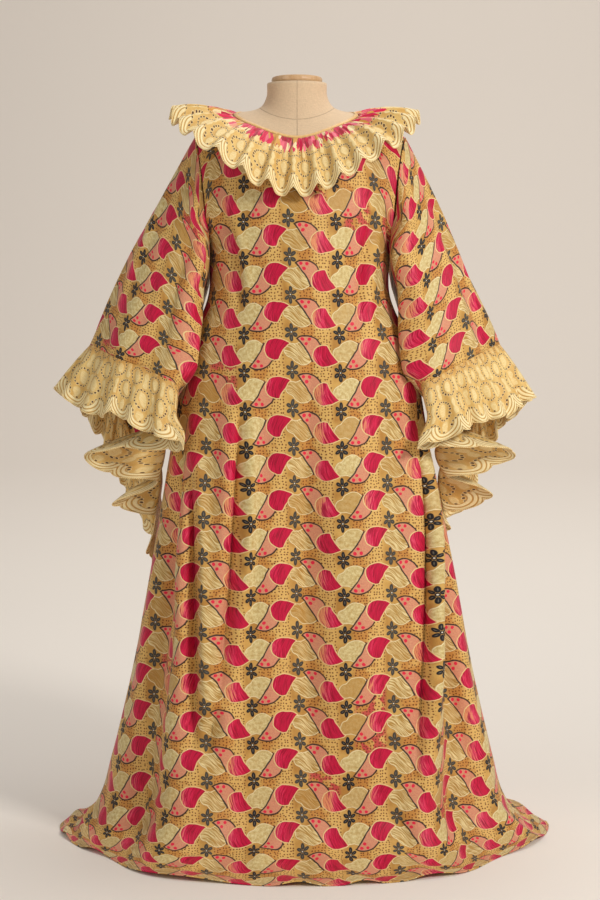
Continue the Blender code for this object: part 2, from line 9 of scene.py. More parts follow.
import bpy
import numpy as np
from bpy.props import FloatProperty, FloatVectorProperty, PointerProperty
from bpy.types import Operator, Panel, PropertyGroup
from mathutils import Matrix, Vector


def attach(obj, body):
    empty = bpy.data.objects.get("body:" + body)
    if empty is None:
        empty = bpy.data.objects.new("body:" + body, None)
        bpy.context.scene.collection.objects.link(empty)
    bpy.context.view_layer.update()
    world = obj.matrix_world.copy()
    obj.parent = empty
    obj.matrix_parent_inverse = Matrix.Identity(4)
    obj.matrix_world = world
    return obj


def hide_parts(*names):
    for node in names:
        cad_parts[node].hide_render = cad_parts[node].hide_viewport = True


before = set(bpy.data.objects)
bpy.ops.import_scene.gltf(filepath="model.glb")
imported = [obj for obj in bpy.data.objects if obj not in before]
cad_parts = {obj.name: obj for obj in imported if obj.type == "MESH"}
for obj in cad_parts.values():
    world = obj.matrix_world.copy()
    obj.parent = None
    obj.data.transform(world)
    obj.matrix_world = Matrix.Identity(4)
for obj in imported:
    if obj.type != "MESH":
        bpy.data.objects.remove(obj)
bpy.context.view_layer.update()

bl_info = {
    "name": "Embroidered Dress",
    "version": (1, 0, 0),
    "blender": (4, 5, 0),
    "location": "View3D > Sidebar > Dress",
    "description": "Long embroidered dress with lace ruffles on a dress form",
    "category": "Object",
}

# The tables below are drawn about the form's middle; this moves each piece over the origin.
SHIFT = np.array([-0.0090, -0.0844, 0.0])
WALL = 0.0018
LACE_WALL = 0.0016
SEAM = 0.0003
REST = 0.0005
UP = np.array([0.0, 0.0, 1.0])

# Which way each panel faces, and how far its side seams stand from the other panel's.
FACING = {"front": -1, "back": 1}
PANEL_GAP = SEAM * 0.6

# Height of the underarm and the cloth's length from there to the hem.
UNDERARM = 1.170
SKIRT_LENGTH = 1.310

# How far the soft lengthwise folds of a sleeve swing, and the soft uneven ripples of the
# cloth, each with the number that their directions follow from.
SLEEVE_FOLD = 0.006
PANEL_RIPPLE = 0.0080
PANEL_RIPPLE_SEED = {"front": 1, "back": 4}
SLEEVE_RIPPLE = 0.0050
SLEEVE_RIPPLE_SEED = 7

# The waves of the pooled hem: their height, the distance between them and their lean.
POOL_WAVE = 0.009
POOL_PITCH = 0.19
POOL_LEAN = 0.12

# The body below the underarm, by height: half width and depth of the ellipse that stands
# for it where the sleeves' inner sides hang against it. They stay clear of it, are pulled in
# by so much at most, and the pull fades over so much room.
BODY = {
    "z": (0.54, 0.62, 0.70, 0.78, 0.86, 0.90, 0.95, 1.00, 1.05, 1.10, 1.14, 1.20),
    "half": (0.306, 0.294, 0.277, 0.260, 0.246, 0.238, 0.230, 0.216, 0.194, 0.178, 0.177,
             0.180),
    "deep": (0.420, 0.370, 0.320, 0.275, 0.225, 0.190, 0.185, 0.185, 0.185, 0.185, 0.185,
             0.185),
}
BODY_CLEAR = 0.006
SLEEVE_PULL = 0.090
PULL_FADE = 0.05

# The wide scoop neckline, once round: turn 0 is the left shoulder, 0.25 the front.
# Slope is the fall of the chest below level in degrees.
NECKLINE = {
    "turn": [0.0, 0.125, 0.25, 0.375, 0.5, 0.625, 0.75, 0.875],
    "x": [-0.130, -0.098, -0.006, 0.083, 0.114, 0.083, -0.006, -0.098],
    "y": [0.000, -0.062, -0.092, -0.062, 0.000, 0.052, 0.070, 0.052],
    "z": [1.4375, 1.4120, 1.3820, 1.4120, 1.4365, 1.4440, 1.4460, 1.4440],
    "slope": [29.0, 38.0, 46.0, 38.0, 29.0, 39.0, 45.0, 39.0],
}

# One armhole, once round: turn 0 is the shoulder point, 0.25 the front, 0.5 the underarm.
ARMHOLE = {
    "turn": [0.0, 0.12, 0.25, 0.38, 0.5, 0.62, 0.75, 0.88],
    "out": [0.205, 0.197, 0.187, 0.181, 0.178, 0.181, 0.187, 0.197],
    "y": [0.000, -0.050, -0.082, -0.062, 0.000, 0.055, 0.078, 0.050],
    "z": [1.395, 1.368, 1.305, 1.225, 1.170, 1.225, 1.305, 1.368],
}

# The dress below the underarm. Fall is the cloth's length down from there, left and right
# are half widths, front and back are depths from the form's middle, centre is where the
# ring is widest and square is 1 for an ellipse and less for a boxier ring.
SKIRT = {
    "fall": [0.000, 0.080, 0.185, 0.395, 0.630, 0.815, 1.035, 1.115, 1.185, 1.255, 1.310],
    "z": [1.170, 1.090, 0.988, 0.778, 0.550, 0.368, 0.152, 0.076, 0.021, 0.0, 0.0],
    "left": [0.178, 0.179, 0.218, 0.257, 0.297, 0.331, 0.383, 0.405, 0.436, 0.470, 0.494],
    "right": [0.176, 0.175, 0.216, 0.260, 0.306, 0.341, 0.392, 0.413, 0.448, 0.486, 0.512],
    "front": [0.155, 0.158, 0.160, 0.163, 0.166, 0.168, 0.175, 0.187, 0.234, 0.301, 0.348],
    "back": [0.118, 0.124, 0.138, 0.175, 0.220, 0.262, 0.318, 0.345, 0.395, 0.455, 0.500],
    "centre": [0.000, 0.000, 0.000, 0.015, 0.030, 0.045, 0.060, 0.066, 0.072, 0.078, 0.080],
    "square": [0.90, 0.88, 0.86, 0.86, 0.88, 0.90, 0.95, 1.00, 1.08, 1.18, 1.25],
}

# The skirt's large folds. Top and foot are places across a panel, 0 at its left seam and 1
# at its right, start and full are cloth lengths, behind is the share of the trough beside it.
FOLDS = {
    "panel": ["front", "front", "front", "front", "back", "back", "back", "back", "back"],
    "top": [0.165, 0.330, 0.540, 0.930, 0.15, 0.33, 0.50, 0.68, 0.86],
    "foot": [0.300, 0.345, 0.520, 0.696, 0.20, 0.36, 0.51, 0.66, 0.80],
    "depth": [0.032, 0.018, -0.020, 0.034, 0.026, -0.026, 0.024, -0.026, 0.028],
    "width": [0.048, 0.045, 0.070, 0.048, 0.060, 0.060, 0.060, 0.060, 0.060],
    "behind": [-1.0, 0.6, 0.0, 1.0, -0.5, 0.0, 0.4, 0.0, 0.5],
    "start": [0.20, 0.18, 0.10, 0.16, 0.20, 0.15, 0.25, 0.15, 0.20],
    "full": [0.70, 0.40, 0.60, 0.60, 0.80, 0.70, 0.90, 0.70, 0.80],
}

# The seam between sleeve and cuff ruffle, once round: turn 0 is the outer edge, about 0.26
# the front edge beside the skirt and 0.6 the lowest point behind.
CUFF_SEAM = {
    "turn": [0.0, 0.07, 0.13, 0.19, 0.228, 0.258, 0.33, 0.44, 0.545, 0.605, 0.66, 0.755, 0.85,
             0.935],
    "left": [0.418, 0.382, 0.345, 0.294, 0.262, 0.238, 0.246, 0.271, 0.283, 0.298, 0.322, 0.356,
             0.385, 0.410],
    "right": [0.398, 0.358, 0.325, 0.290, 0.261, 0.238, 0.247, 0.274, 0.287, 0.301, 0.323, 0.354,
              0.380, 0.395],
    "y": [0.010, -0.050, -0.090, -0.118, -0.128, -0.124, -0.070, 0.000, 0.055, 0.090, 0.118,
          0.118, 0.090, 0.050],
    "z": [0.988, 0.975, 0.960, 0.943, 0.927, 0.915, 0.870, 0.792, 0.716, 0.692, 0.732, 0.816,
          0.895, 0.955],
}

# The cuff ruffle's lower edge on each side: the front edge, then a cascade that swings out
# and back three times on its way down beside the skirt, then the plain rear edge.
CUFF_HEM_LEFT = {
    "turn": [0.0, 0.05, 0.10, 0.145, 0.175, 0.205, 0.235, 0.268, 0.305, 0.345, 0.385, 0.425,
             0.452, 0.480, 0.512, 0.536, 0.562, 0.590, 0.615, 0.680, 0.760, 0.850, 0.930],
    "out": [0.485, 0.445, 0.396, 0.356, 0.330, 0.302, 0.268, 0.242, 0.268, 0.340, 0.424, 0.368,
            0.318, 0.378, 0.348, 0.314, 0.349, 0.324, 0.308, 0.336, 0.374, 0.412, 0.455],
    "y": [0.010, -0.040, -0.090, -0.118, -0.130, -0.140, -0.148, -0.146, -0.126, -0.096, -0.060,
          -0.036, -0.014, 0.014, 0.038, 0.056, 0.078, 0.096, 0.108, 0.150, 0.162, 0.130, 0.070],
    "z": [0.896, 0.872, 0.850, 0.856, 0.840, 0.824, 0.811, 0.790, 0.784, 0.788, 0.772, 0.728,
          0.716, 0.669, 0.650, 0.632, 0.564, 0.548, 0.518, 0.600, 0.705, 0.795, 0.862],
}
CUFF_HEM_RIGHT = {
    "turn": [0.0, 0.04, 0.07, 0.12, 0.17, 0.215, 0.262, 0.305, 0.345, 0.385, 0.425, 0.452,
             0.480, 0.512, 0.536, 0.562, 0.590, 0.615, 0.680, 0.760, 0.850, 0.930],
    "out": [0.461, 0.438, 0.416, 0.378, 0.340, 0.306, 0.256, 0.274, 0.346, 0.426, 0.374, 0.324,
            0.388, 0.352, 0.320, 0.338, 0.320, 0.308, 0.336, 0.372, 0.404, 0.440],
    "y": [0.010, -0.030, -0.060, -0.092, -0.120, -0.140, -0.148, -0.126, -0.096, -0.050, -0.026,
          -0.008, 0.020, 0.044, 0.060, 0.082, 0.098, 0.108, 0.150, 0.162, 0.130, 0.066],
    "z": [0.880, 0.869, 0.853, 0.846, 0.836, 0.818, 0.793, 0.790, 0.792, 0.778, 0.740, 0.724,
          0.690, 0.656, 0.646, 0.612, 0.586, 0.566, 0.628, 0.718, 0.800, 0.850],
}
CUFF_FLUTES = 21
CUFF_SCALLOPS = 28
CUFF_FLARE = 0.011
CUFF_ARCH = 0.004
CUFF_GATHER = 0.0020

# The collar ruffle: how far it reaches out from the neckline and how far it rises or falls.
COLLAR = {
    "turn": [0.0, 0.09, 0.17, 0.25, 0.33, 0.41, 0.5, 0.59, 0.67, 0.75, 0.83, 0.91],
    "reach": [0.126, 0.124, 0.106, 0.083, 0.106, 0.124, 0.122, 0.120, 0.112, 0.104, 0.112, 0.122],
    "rise": [0.010, -0.030, -0.084, -0.108, -0.084, -0.032, 0.006, 0.000, -0.032, -0.062, -0.032,
             0.002],
}
COLLAR_FLUTES = 28
COLLAR_SCALLOPS = 28
COLLAR_FLARE = 0.012
COLLAR_ARCH = 0.010
COLLAR_GATHER = 0.0034

# How far the lace's edge draws back between scallop points, as a share of its depth.
SCALLOP_NOTCH = 0.085

# The binding's width along the chest and its thickness.
BINDING_WIDTH = 0.0080
BINDING_THICK = 0.0036

# The dress form below its neckline ring, from the shoulder down.
FORM = {
    "z_side": [1.384, 1.330, 1.250, 1.170, 1.080, 0.980, 0.880, 0.810, 0.772],
    "z_front": [1.322, 1.285, 1.240, 1.170, 1.080, 0.980, 0.880, 0.810, 0.772],
    "z_back": [1.378, 1.330, 1.250, 1.170, 1.080, 0.980, 0.880, 0.810, 0.772],
    "half": [0.164, 0.170, 0.166, 0.156, 0.134, 0.152, 0.174, 0.174, 0.150],
    "front": [0.108, 0.126, 0.139, 0.140, 0.122, 0.126, 0.136, 0.136, 0.116],
    "back": [0.068, 0.084, 0.096, 0.096, 0.084, 0.098, 0.118, 0.122, 0.104],
}
# The form's neck, from its top down to the base.
NECK = {
    "z_side": [1.500, 1.474, 1.453],
    "z_front": [1.500, 1.460, 1.424],
    "z_back": [1.500, 1.474, 1.453],
    "half": [0.0585, 0.0600, 0.0740],
    "front": [0.0510, 0.0530, 0.0620],
    "back": [0.0530, 0.0540, 0.0600],
}
FORM_X = -0.006

# Soft creases by cloth coordinates: metres across from the piece's middle and up it.
CREASES = {
    "piece": ["front"] * 19 + ["back"] * 10 + ["sleeve"] * 6,
    "x0": [-0.17, 0.16, -0.235, -0.116, -0.158, 0.022, 0.257, -0.471, 0.425, 0.189,
           -0.076, 0.122, 0.106, -0.300, 0.330, -0.150, 0.180, -0.020, 0.420,
           -0.15, 0.15, 0.00, -0.10, 0.12, 0.25, -0.25, 0.02, -0.40, 0.40,
           -0.06, 0.05, -0.10, 0.02, 0.09, -0.13],
    "z0": [1.26, 1.25, 0.774, 0.881, 0.287, 1.002, 0.896, -0.003, 0.073, 1.271,
           0.835, 0.683, 1.264, 0.500, 0.520, 0.060, 0.080, 0.050, 0.060,
           1.25, 1.25, 1.30, 0.90, 0.85, 0.40, 0.80, 0.70, 0.06, 0.05,
           -0.06, -0.10, -0.20, -0.15, -0.10, -0.14],
    "x1": [-0.12, 0.12, -0.210, -0.158, -0.183, 0.027, 0.218, -0.235, 0.609, 0.245,
           -0.076, 0.120, 0.086, -0.360, 0.420, -0.220, 0.260, -0.110, 0.300,
           -0.10, 0.10, 0.01, -0.16, 0.17, 0.34, -0.30, 0.03, -0.20, 0.22,
           -0.08, 0.08, -0.14, 0.03, 0.11, -0.19],
    "z1": [1.05, 1.00, 0.180, 0.287, 0.180, 0.088, 0.119, 0.104, -0.140, 1.160,
           0.180, 0.134, 1.002, 0.020, 0.020, -0.080, -0.070, -0.060, -0.050,
           1.00, 1.00, 1.05, 0.30, 0.25, 0.03, 0.20, 0.15, 0.02, 0.00,
           -0.40, -0.42, -0.42, -0.44, -0.36, -0.40],
    "depth": [-0.014, -0.014, -0.038, -0.036, -0.024, -0.020, -0.038, 0.012, 0.011, -0.010,
              0.010, 0.010, -0.005, 0.012, -0.012, 0.010, -0.010, 0.009, 0.011,
              -0.008, -0.008, 0.007, 0.012, -0.013, 0.012, -0.011, -0.012, 0.010, -0.010,
              0.007, -0.007, 0.006, 0.006, -0.007, -0.006],
    "width": [0.011, 0.011, 0.012, 0.012, 0.012, 0.024, 0.013, 0.016, 0.018, 0.010,
              0.040, 0.040, 0.014, 0.020, 0.022, 0.016, 0.016, 0.018, 0.018,
              0.016, 0.016, 0.022, 0.026, 0.026, 0.022, 0.022, 0.030, 0.016, 0.016,
              0.014, 0.014, 0.012, 0.014, 0.012, 0.014],
    "bow": [0.010, -0.010, 0.012, 0.008, 0.0, -0.010, 0.012, 0.010, 0.010, -0.006,
            0.006, -0.008, 0.004, -0.010, 0.010, 0.008, -0.008, 0.006, -0.008,
            0.008, -0.008, 0.0, 0.010, -0.010, 0.010, 0.010, 0.006, 0.006, -0.006,
            0.006, -0.006, 0.004, 0.004, 0.006, -0.006],
}


def cubic(low, high, leave, arrive, t, span=1.0):
    """Read a cubic curve from low to high, with a slope at each end, at the share t."""
    return ((2 * t ** 3 - 3 * t ** 2 + 1) * low + (t ** 3 - 2 * t ** 2 + t) * span * leave
            + (3 * t ** 2 - 2 * t ** 3) * high + (t ** 3 - t ** 2) * span * arrive)


def curve_through(keys, values, at):
    """Read a smooth cubic curve through (keys, values) at the places in at."""
    keys = np.asarray(keys, float)
    values = np.asarray(values, float)
    at = np.clip(np.asarray(at, float), keys[0], keys[-1])
    slopes = np.gradient(values, keys)
    i = np.clip(np.searchsorted(keys, at, side="right") - 1, 0, len(keys) - 2)
    span = keys[i + 1] - keys[i]
    t = (at - keys[i]) / span
    return cubic(values[i], values[i + 1], slopes[i], slopes[i + 1], t, span)


def loop_through(table, name, at):
    """Read one column of a table, smooth and closed over turns 0 to 1, at the places in at."""
    turns = np.asarray(table["turn"], float)
    values = np.asarray(table[name], float)
    keys = np.concatenate([turns[-3:] - 1, turns, turns[:3] + 1])
    return curve_through(keys, np.concatenate([values[-3:], values, values[:3]]), np.mod(at, 1.0))


def unit(vectors):
    """Scale vectors to length one."""
    return vectors / np.linalg.norm(vectors, axis=-1, keepdims=True)


def square_to(vectors, along):
    """Return the part of each vector that stands square to a direction."""
    return vectors - along * np.sum(vectors * along, -1, keepdims=True)


def smoothstep(low, high, value):
    """Rise smoothly from 0 at low to 1 at high."""
    t = np.clip((value - low) / (high - low), 0, 1)
    return t * t * (3 - 2 * t)


def neckline(turn):
    """Return the neckline's points, its direction away from the neck, and its normal."""
    place = [loop_through(NECKLINE, axis, turn) for axis in "xyz"]
    ahead = [loop_through(NECKLINE, axis, turn + 0.004) for axis in "xy"]
    behind = [loop_through(NECKLINE, axis, turn - 0.004) for axis in "xy"]
    along = np.stack([ahead[0] - behind[0], ahead[1] - behind[1]], -1)
    level = unit(np.stack([along[:, 1], -along[:, 0], 0 * turn], -1))
    slope = np.radians(loop_through(NECKLINE, "slope", turn))[:, None]
    away = level * np.cos(slope) - UP * np.sin(slope)
    normal = level * np.sin(slope) + UP * np.cos(slope)
    return np.stack(place, -1), away, normal


def armhole(turn, side):
    """Return points on one armhole; side is -1 for the left and 1 for the right."""
    out, y, z = (loop_through(ARMHOLE, name, turn) for name in ("out", "y", "z"))
    return np.stack([side * out, y, z], -1)


def skirt_point(panel, across, fall):
    """Return points of the dress below the underarm, with its folds."""
    row = {name: curve_through(SKIRT["fall"], SKIRT[name], fall) for name in SKIRT}
    angle = np.pi * across
    half = np.where(across < 0.5, row["left"], row["right"])
    round_off = np.sin(np.clip(angle, 1e-6, np.pi - 1e-6)) ** row["square"]
    x = -half * np.cos(angle)
    if panel == "front":
        y = row["centre"] - (row["front"] + row["centre"]) * round_off
    else:
        y = row["centre"] + (row["back"] - row["centre"]) * round_off
    push = np.zeros_like(x)
    for i, owner in enumerate(FOLDS["panel"]):
        if owner != panel:
            continue
        grown = smoothstep(FOLDS["start"][i], FOLDS["full"][i], fall)
        grown = grown * (1 - 0.6 * smoothstep(1.10, 1.26, fall))
        middle = FOLDS["top"][i] + (FOLDS["foot"][i] - FOLDS["top"][i]) * np.clip(fall / 1.1, 0, 1)
        offset = (across - middle) / FOLDS["width"][i]
        beside = offset - 1.7 * np.sign(FOLDS["behind"][i])
        push += grown * FOLDS["depth"][i] * (np.exp(-offset ** 2)
                                             - abs(FOLDS["behind"][i]) * np.exp(-beside ** 2))
    outward = unit(np.stack([-np.cos(angle) * 0.55, np.sin(angle) * FACING[panel]], -1))
    return np.stack([x + outward[..., 0] * push, y + outward[..., 1] * push,
                     np.maximum(row["z"], 0)], -1)


def bent(top, bend, low, t):
    """Return points of a curve from top to low, drawn towards bend, at the share t."""
    return (1 - t) ** 2 * top + 2 * t * (1 - t) * bend + t ** 2 * low


def yoke_point(panel, across, down):
    """Return points between the neckline and shoulder seams (down 0) and the underarm (1)."""
    gap = FACING[panel] * PANEL_GAP
    lap = np.clip((across - 0.2) / 0.6, 0, 1) * 0.5
    neck, _, _ = neckline(lap if panel == "front" else 1 - lap)
    left_share = np.clip(1 - across / 0.2, 0, 1)[..., None]
    right_share = np.clip((across - 0.8) / 0.2, 0, 1)[..., None]
    top = neck + left_share * (armhole(0 * across, -1) - neck)
    top = top + right_share * (armhole(0 * across, 1) - neck)
    top[..., 1] += gap
    low = skirt_point(panel, across, 0 * across)
    bend = np.stack([0.45 * top[..., 0] + 0.55 * low[..., 0],
                     0.10 * top[..., 1] + 0.90 * low[..., 1],
                     top[..., 2] - 0.020 - 0.40 * abs(top[..., 1])], -1)
    t = down[..., None]
    points = bent(top, bend, low, t)
    for side in (-1, 1):
        near = across if side < 0 else 1 - across
        seam_turn = 0.5 * down if panel == "front" else 1 - 0.5 * down
        seam = armhole(seam_turn, side)
        seam[..., 1] += gap
        edge_low = armhole(0.5 + 0 * down, side)
        edge_top = armhole(0 * down, side)
        edge_bend = np.stack([0.45 * edge_top[..., 0] + 0.55 * edge_low[..., 0],
                              0.10 * edge_top[..., 1] + 0.90 * edge_low[..., 1],
                              edge_top[..., 2] - 0.020 + 0 * down], -1)
        share = (np.clip(1 - near / 0.34, 0, 1) ** 1.6)[..., None]
        points = points + share * (seam - bent(edge_top, edge_bend, edge_low, t))
    return points


def armhole_edge(turn, side):
    """Return an armhole's points, the panels' normal there and the way out of the panel."""
    step = 0.004
    across = np.full_like(turn, 0.02 if side < 0 else 0.98)
    down = np.clip(np.where(turn <= 0.5, 2 * turn, 2 - 2 * turn), 0.01, 0.99)
    inside = np.where((turn <= 0.5)[:, None], yoke_point("front", across, down),
                      yoke_point("back", across, down))
    edge = armhole(turn, side)
    along = armhole(turn + step, side) - armhole(turn - step, side)
    inward = inside - edge
    under = np.exp(-((turn - 0.5) / 0.05) ** 2)[:, None]
    inward = inward * (1 - under) + np.array([0.0, 0.0, -0.01]) * under
    normal = unit(np.cross(along, inward)) * -side
    outward = edge - np.array([0.0, 0.0, 1.25])
    normal = normal * np.sign(np.sum(normal * outward, -1, keepdims=True))
    away = unit(np.cross(normal, along))
    away = away * -np.sign(np.sum(away * inward, -1, keepdims=True))
    return edge, normal, away


def sleeve_folds(turn):
    """Return how far the sleeve's soft lengthwise folds push its front and back in or out."""
    front = smoothstep(0.02, 0.08, turn) * (1 - smoothstep(0.24, 0.34, turn))
    rear = smoothstep(0.64, 0.72, turn) * (1 - smoothstep(0.90, 0.97, turn))
    return SLEEVE_FOLD * np.sin(math.tau * turn * 7.0) * (front + rear)


def cuff_seam(turn, side):
    """Return points on one cuff seam."""
    out = loop_through(CUFF_SEAM, "left" if side < 0 else "right", turn)
    y = loop_through(CUFF_SEAM, "y", turn) + sleeve_folds(np.mod(turn, 1.0))
    z = loop_through(CUFF_SEAM, "z", turn)
    return np.stack([side * out, y, z], -1)


def row_normals(grid, closed):
    """Return unit normals of a grid: the cross product of its row and column differences."""
    across = np.gradient(grid, axis=1)
    if closed:
        across = np.roll(grid, -1, axis=1) - np.roll(grid, 1, axis=1)
    return unit(np.cross(np.gradient(grid, axis=0), across))


def cloth_lengths(grid, middle, closed):
    """Return each point's arc length along its row, counted from the middle column.

    The length is the running sum of the distances between neighbours in the row. A closed
    row gets one length more than it has points, for the step back to its first point.
    """
    if closed:
        grid = np.concatenate([grid, grid[:, :1]], axis=1)
    steps = np.linalg.norm(np.diff(grid, axis=1), axis=-1)
    along = np.concatenate([np.zeros((len(grid), 1)), np.cumsum(steps, axis=1)], axis=1)
    return along - along[:, middle:middle + 1]


def creases(table, name, across, up):
    """Return the height of the named piece's creases over its cloth coordinates.

    Each row of the table is a stroke from (x0, z0) to (x1, z1), bowed sideways by its bow.
    A ridge's height is depth times a bell curve of the distance from the stroke over its
    width. A trough, of negative depth, has a sharper floor and a low ridge along one side.
    Both fade as a half sine towards their ends.
    """
    height = np.zeros_like(across)
    for i, owner in enumerate(table["piece"]):
        if owner != name:
            continue
        start = np.array([table["x0"][i], table["z0"][i]])
        run = np.array([table["x1"][i], table["z1"][i]]) - start
        length = np.hypot(*run)
        ahead = run / length
        beside = np.array([-ahead[1], ahead[0]])
        place = np.stack([across, up], -1) - start
        t = place @ ahead / length
        bow = table["bow"][i] * 4 * t * (1 - t)
        off = (place @ beside - bow) / table["width"][i]
        fade = np.sin(np.pi * np.clip(t, 0, 1)) ** 0.7
        if table["depth"][i] < 0:
            shape = np.exp(-np.abs(off) ** 1.25) - 0.45 * np.exp(-((off - 2.0) / 1.2) ** 2)
        else:
            shape = np.exp(-off ** 2) - 0.35 * np.exp(-(off / 2.2) ** 2)
        height += table["depth"][i] * fade * shape
    return height


def ripples(across, up, seed, size):
    """Return soft uneven ripples: five sine waves of set lengths and directions added up."""
    height = np.zeros_like(across)
    for k in range(5):
        turn = seed * 1.7 + k * 2.399
        length = 0.11 + 0.05 * k
        tilt = 0.30 * math.sin(turn * 1.3)
        wave = math.tau * (across * math.cos(tilt) + up * math.sin(tilt) * 0.6) / length
        height += np.sin(wave + turn * 5.0) * np.cos(math.tau * up / (0.42 + 0.09 * k) + turn)
    return height * size / 5


def panel_surface(panel, columns, rows):
    """Return a panel's inner face and its cloth coordinates.

    The two parameters are the share across the panel and the way down it: first the yoke,
    a curve from neckline to underarm, then rings of the skirt by the cloth's length. Soft
    ripples and creases are added square to the face.
    """
    across = np.linspace(0, 1, columns + 1)
    yoke_rows = int(rows * 0.22)
    yoke = [yoke_point(panel, across, np.full_like(across, down))
            for down in np.linspace(0, 1, yoke_rows + 1)[:-1]]
    falls = np.linspace(0, SKIRT_LENGTH, rows - yoke_rows + 1)
    skirt = [skirt_point(panel, across, np.full_like(across, fall)) for fall in falls]
    grid = np.array(yoke + skirt)
    u = cloth_lengths(grid, columns // 2, False)
    steps = np.linalg.norm(np.diff(grid[:yoke_rows + 1], axis=0), axis=-1)
    above = np.cumsum(steps[::-1], axis=0)[::-1]
    below = falls[:, None] + 0 * u[yoke_rows:]
    v = np.concatenate([UNDERARM + above, UNDERARM - below], axis=0)
    normal = row_normals(grid, False)
    normal *= np.sign(normal[len(grid) // 2, columns // 2, 1]) * FACING[panel]
    way = np.linspace(0, 1, len(grid))[:, None]
    share = across[None, :]
    edge = smoothstep(0.0, 0.05, share) * (1 - smoothstep(0.95, 1.0, share))
    edge = edge * smoothstep(0.02, 0.16, way) * (1 - 0.75 * smoothstep(0.80, 0.90, way))
    height = ripples(u, v, PANEL_RIPPLE_SEED[panel], PANEL_RIPPLE) * edge
    height = height * smoothstep(0.15, 0.5, way)
    body_edge = smoothstep(0.0, 0.03, share) * (1 - smoothstep(0.97, 1.0, share))
    body_edge = body_edge * smoothstep(0.02, 0.08, way)
    height = height + creases(CREASES, panel, u, v) * body_edge
    puddle = smoothstep(0.10, -0.02, v) * body_edge
    drift = u / POOL_PITCH + 0.35 * np.sin(u * 9.0 + v * 6.0)
    wave = np.sin(math.tau * drift + 2.5 * v / POOL_LEAN)
    height = height + POOL_WAVE * puddle * (0.5 + 0.5 * wave) ** 1.5
    grid = grid + normal * height[..., None]
    grid[..., 2] = np.maximum(grid[..., 2], 0.0)
    for column in (0, -1):
        grid[yoke_rows:, column, 1] += FACING[panel] * PANEL_GAP
    return grid, u, v


def sleeve_rings(turn, side, rows):
    """Return a sleeve's plain rings: straight lines from the armhole to the cuff seam.

    They are let out at the underarm and the outer edge and carry the soft lengthwise folds.
    """
    edge, normal, away = armhole_edge(turn, side)
    foot = cuff_seam(turn, side)
    under = np.exp(-((turn - 0.5) / 0.16) ** 2)[:, None]
    outer = np.exp(-(np.minimum(turn, 1 - turn) / 0.10) ** 2)[:, None]
    lead = unit(foot - edge + under * np.array([side * 0.090, 0.0, 0.0]))
    turned = np.sum(lead * away, -1, keepdims=True)
    bend = np.linalg.norm(np.cross(lead, away), axis=-1, keepdims=True)
    hinge = 1 - smoothstep(-0.25, 0.25, turned)
    lift = WALL + hinge * (SEAM + 0.0004)
    gap = (1 - hinge) * (SEAM + 0.0003 + WALL * bend) + hinge * 0.0002
    top = edge + normal * lift + away * gap
    s = np.linspace(0, 1, rows + 1)[:, None, None]
    swell = 4 * s * (1 - s)
    grid = top + (foot - top) * s + under * swell * np.array([side * 0.026, 0.0, 0.0])
    grid = grid + outer * swell * np.array([side * 0.004, 0.0, 0.006])
    grid[..., 1] += sleeve_folds(turn) * (smoothstep(0.15, 0.85, s[..., 0]) - s[..., 0])
    return grid


def hang_against(grid, side, pull):
    """Move a sleeve's nearer side in, towards the body, by up to the pull in metres.

    The body's half width is a curve over the height, times the root of one less the square
    of the depth over another curve. The move is the room to within 6 mm of it times
    tanh(pull * exp(-(room / fade)^2) / room), so that it fades where the room is wide.
    """
    half, deep = (np.interp(grid[..., 2], BODY["z"], BODY[name]) for name in ("half", "deep"))
    body = half * np.sqrt(np.clip(1 - (grid[..., 1] / deep) ** 2, 0.1, 1)) + BODY_CLEAR
    room = np.maximum(grid[..., 0] * side - body, 0.0)
    move = room * np.tanh(pull * np.exp(-(room / PULL_FADE) ** 2) / np.maximum(room, 0.001))
    return grid - move[..., None] * np.array([side, 0.0, 0.0])


def sleeve_surface(side, columns, rows):
    """Return a sleeve's outer face and its cloth coordinates.

    The two parameters are the turn round the sleeve, from the seam under it, and the share
    of the way from the armhole to the cuff. Ripples and creases are added square to it, and
    below the underarm its inner side is moved in, to hang within 6 mm of the body.
    """
    turn = np.mod(np.arange(columns) / columns + 0.63, 1.0)
    grid = sleeve_rings(turn, side, rows)
    middle = columns // 2
    u = cloth_lengths(grid, middle, True)
    steps = np.linalg.norm(np.diff(grid[:, middle], axis=0), axis=-1)
    v = -np.concatenate([[0.0], np.cumsum(steps)])[:, None] + 0 * u
    outward = row_normals(grid, True)
    inside = grid.mean(axis=1, keepdims=True)
    outward *= np.sign(np.sum(outward * (grid - inside)))
    way = np.linspace(0, 1, rows + 1)[:, None]
    quiet = smoothstep(0.04, 0.20, way) * (1 - smoothstep(0.90, 0.995, way))
    away_from_seam = 1 - np.exp(-((turn - 0.5) / 0.08) ** 2)[None, :]
    height = ripples(u, v, SLEEVE_RIPPLE_SEED + side, SLEEVE_RIPPLE)[:, :-1] * quiet
    height = height * away_from_seam
    height = height + creases(CREASES, "sleeve", u * -side, v)[:, :-1] * quiet
    loose = smoothstep(0.86, 0.95, grid[..., 2]) * (1 - smoothstep(1.14, 1.24, grid[..., 2]))
    grid = hang_against(grid, side, SLEEVE_PULL * loose * (1 - smoothstep(0.88, 1.0, way)))
    return grid + outward * height[..., None], u, v


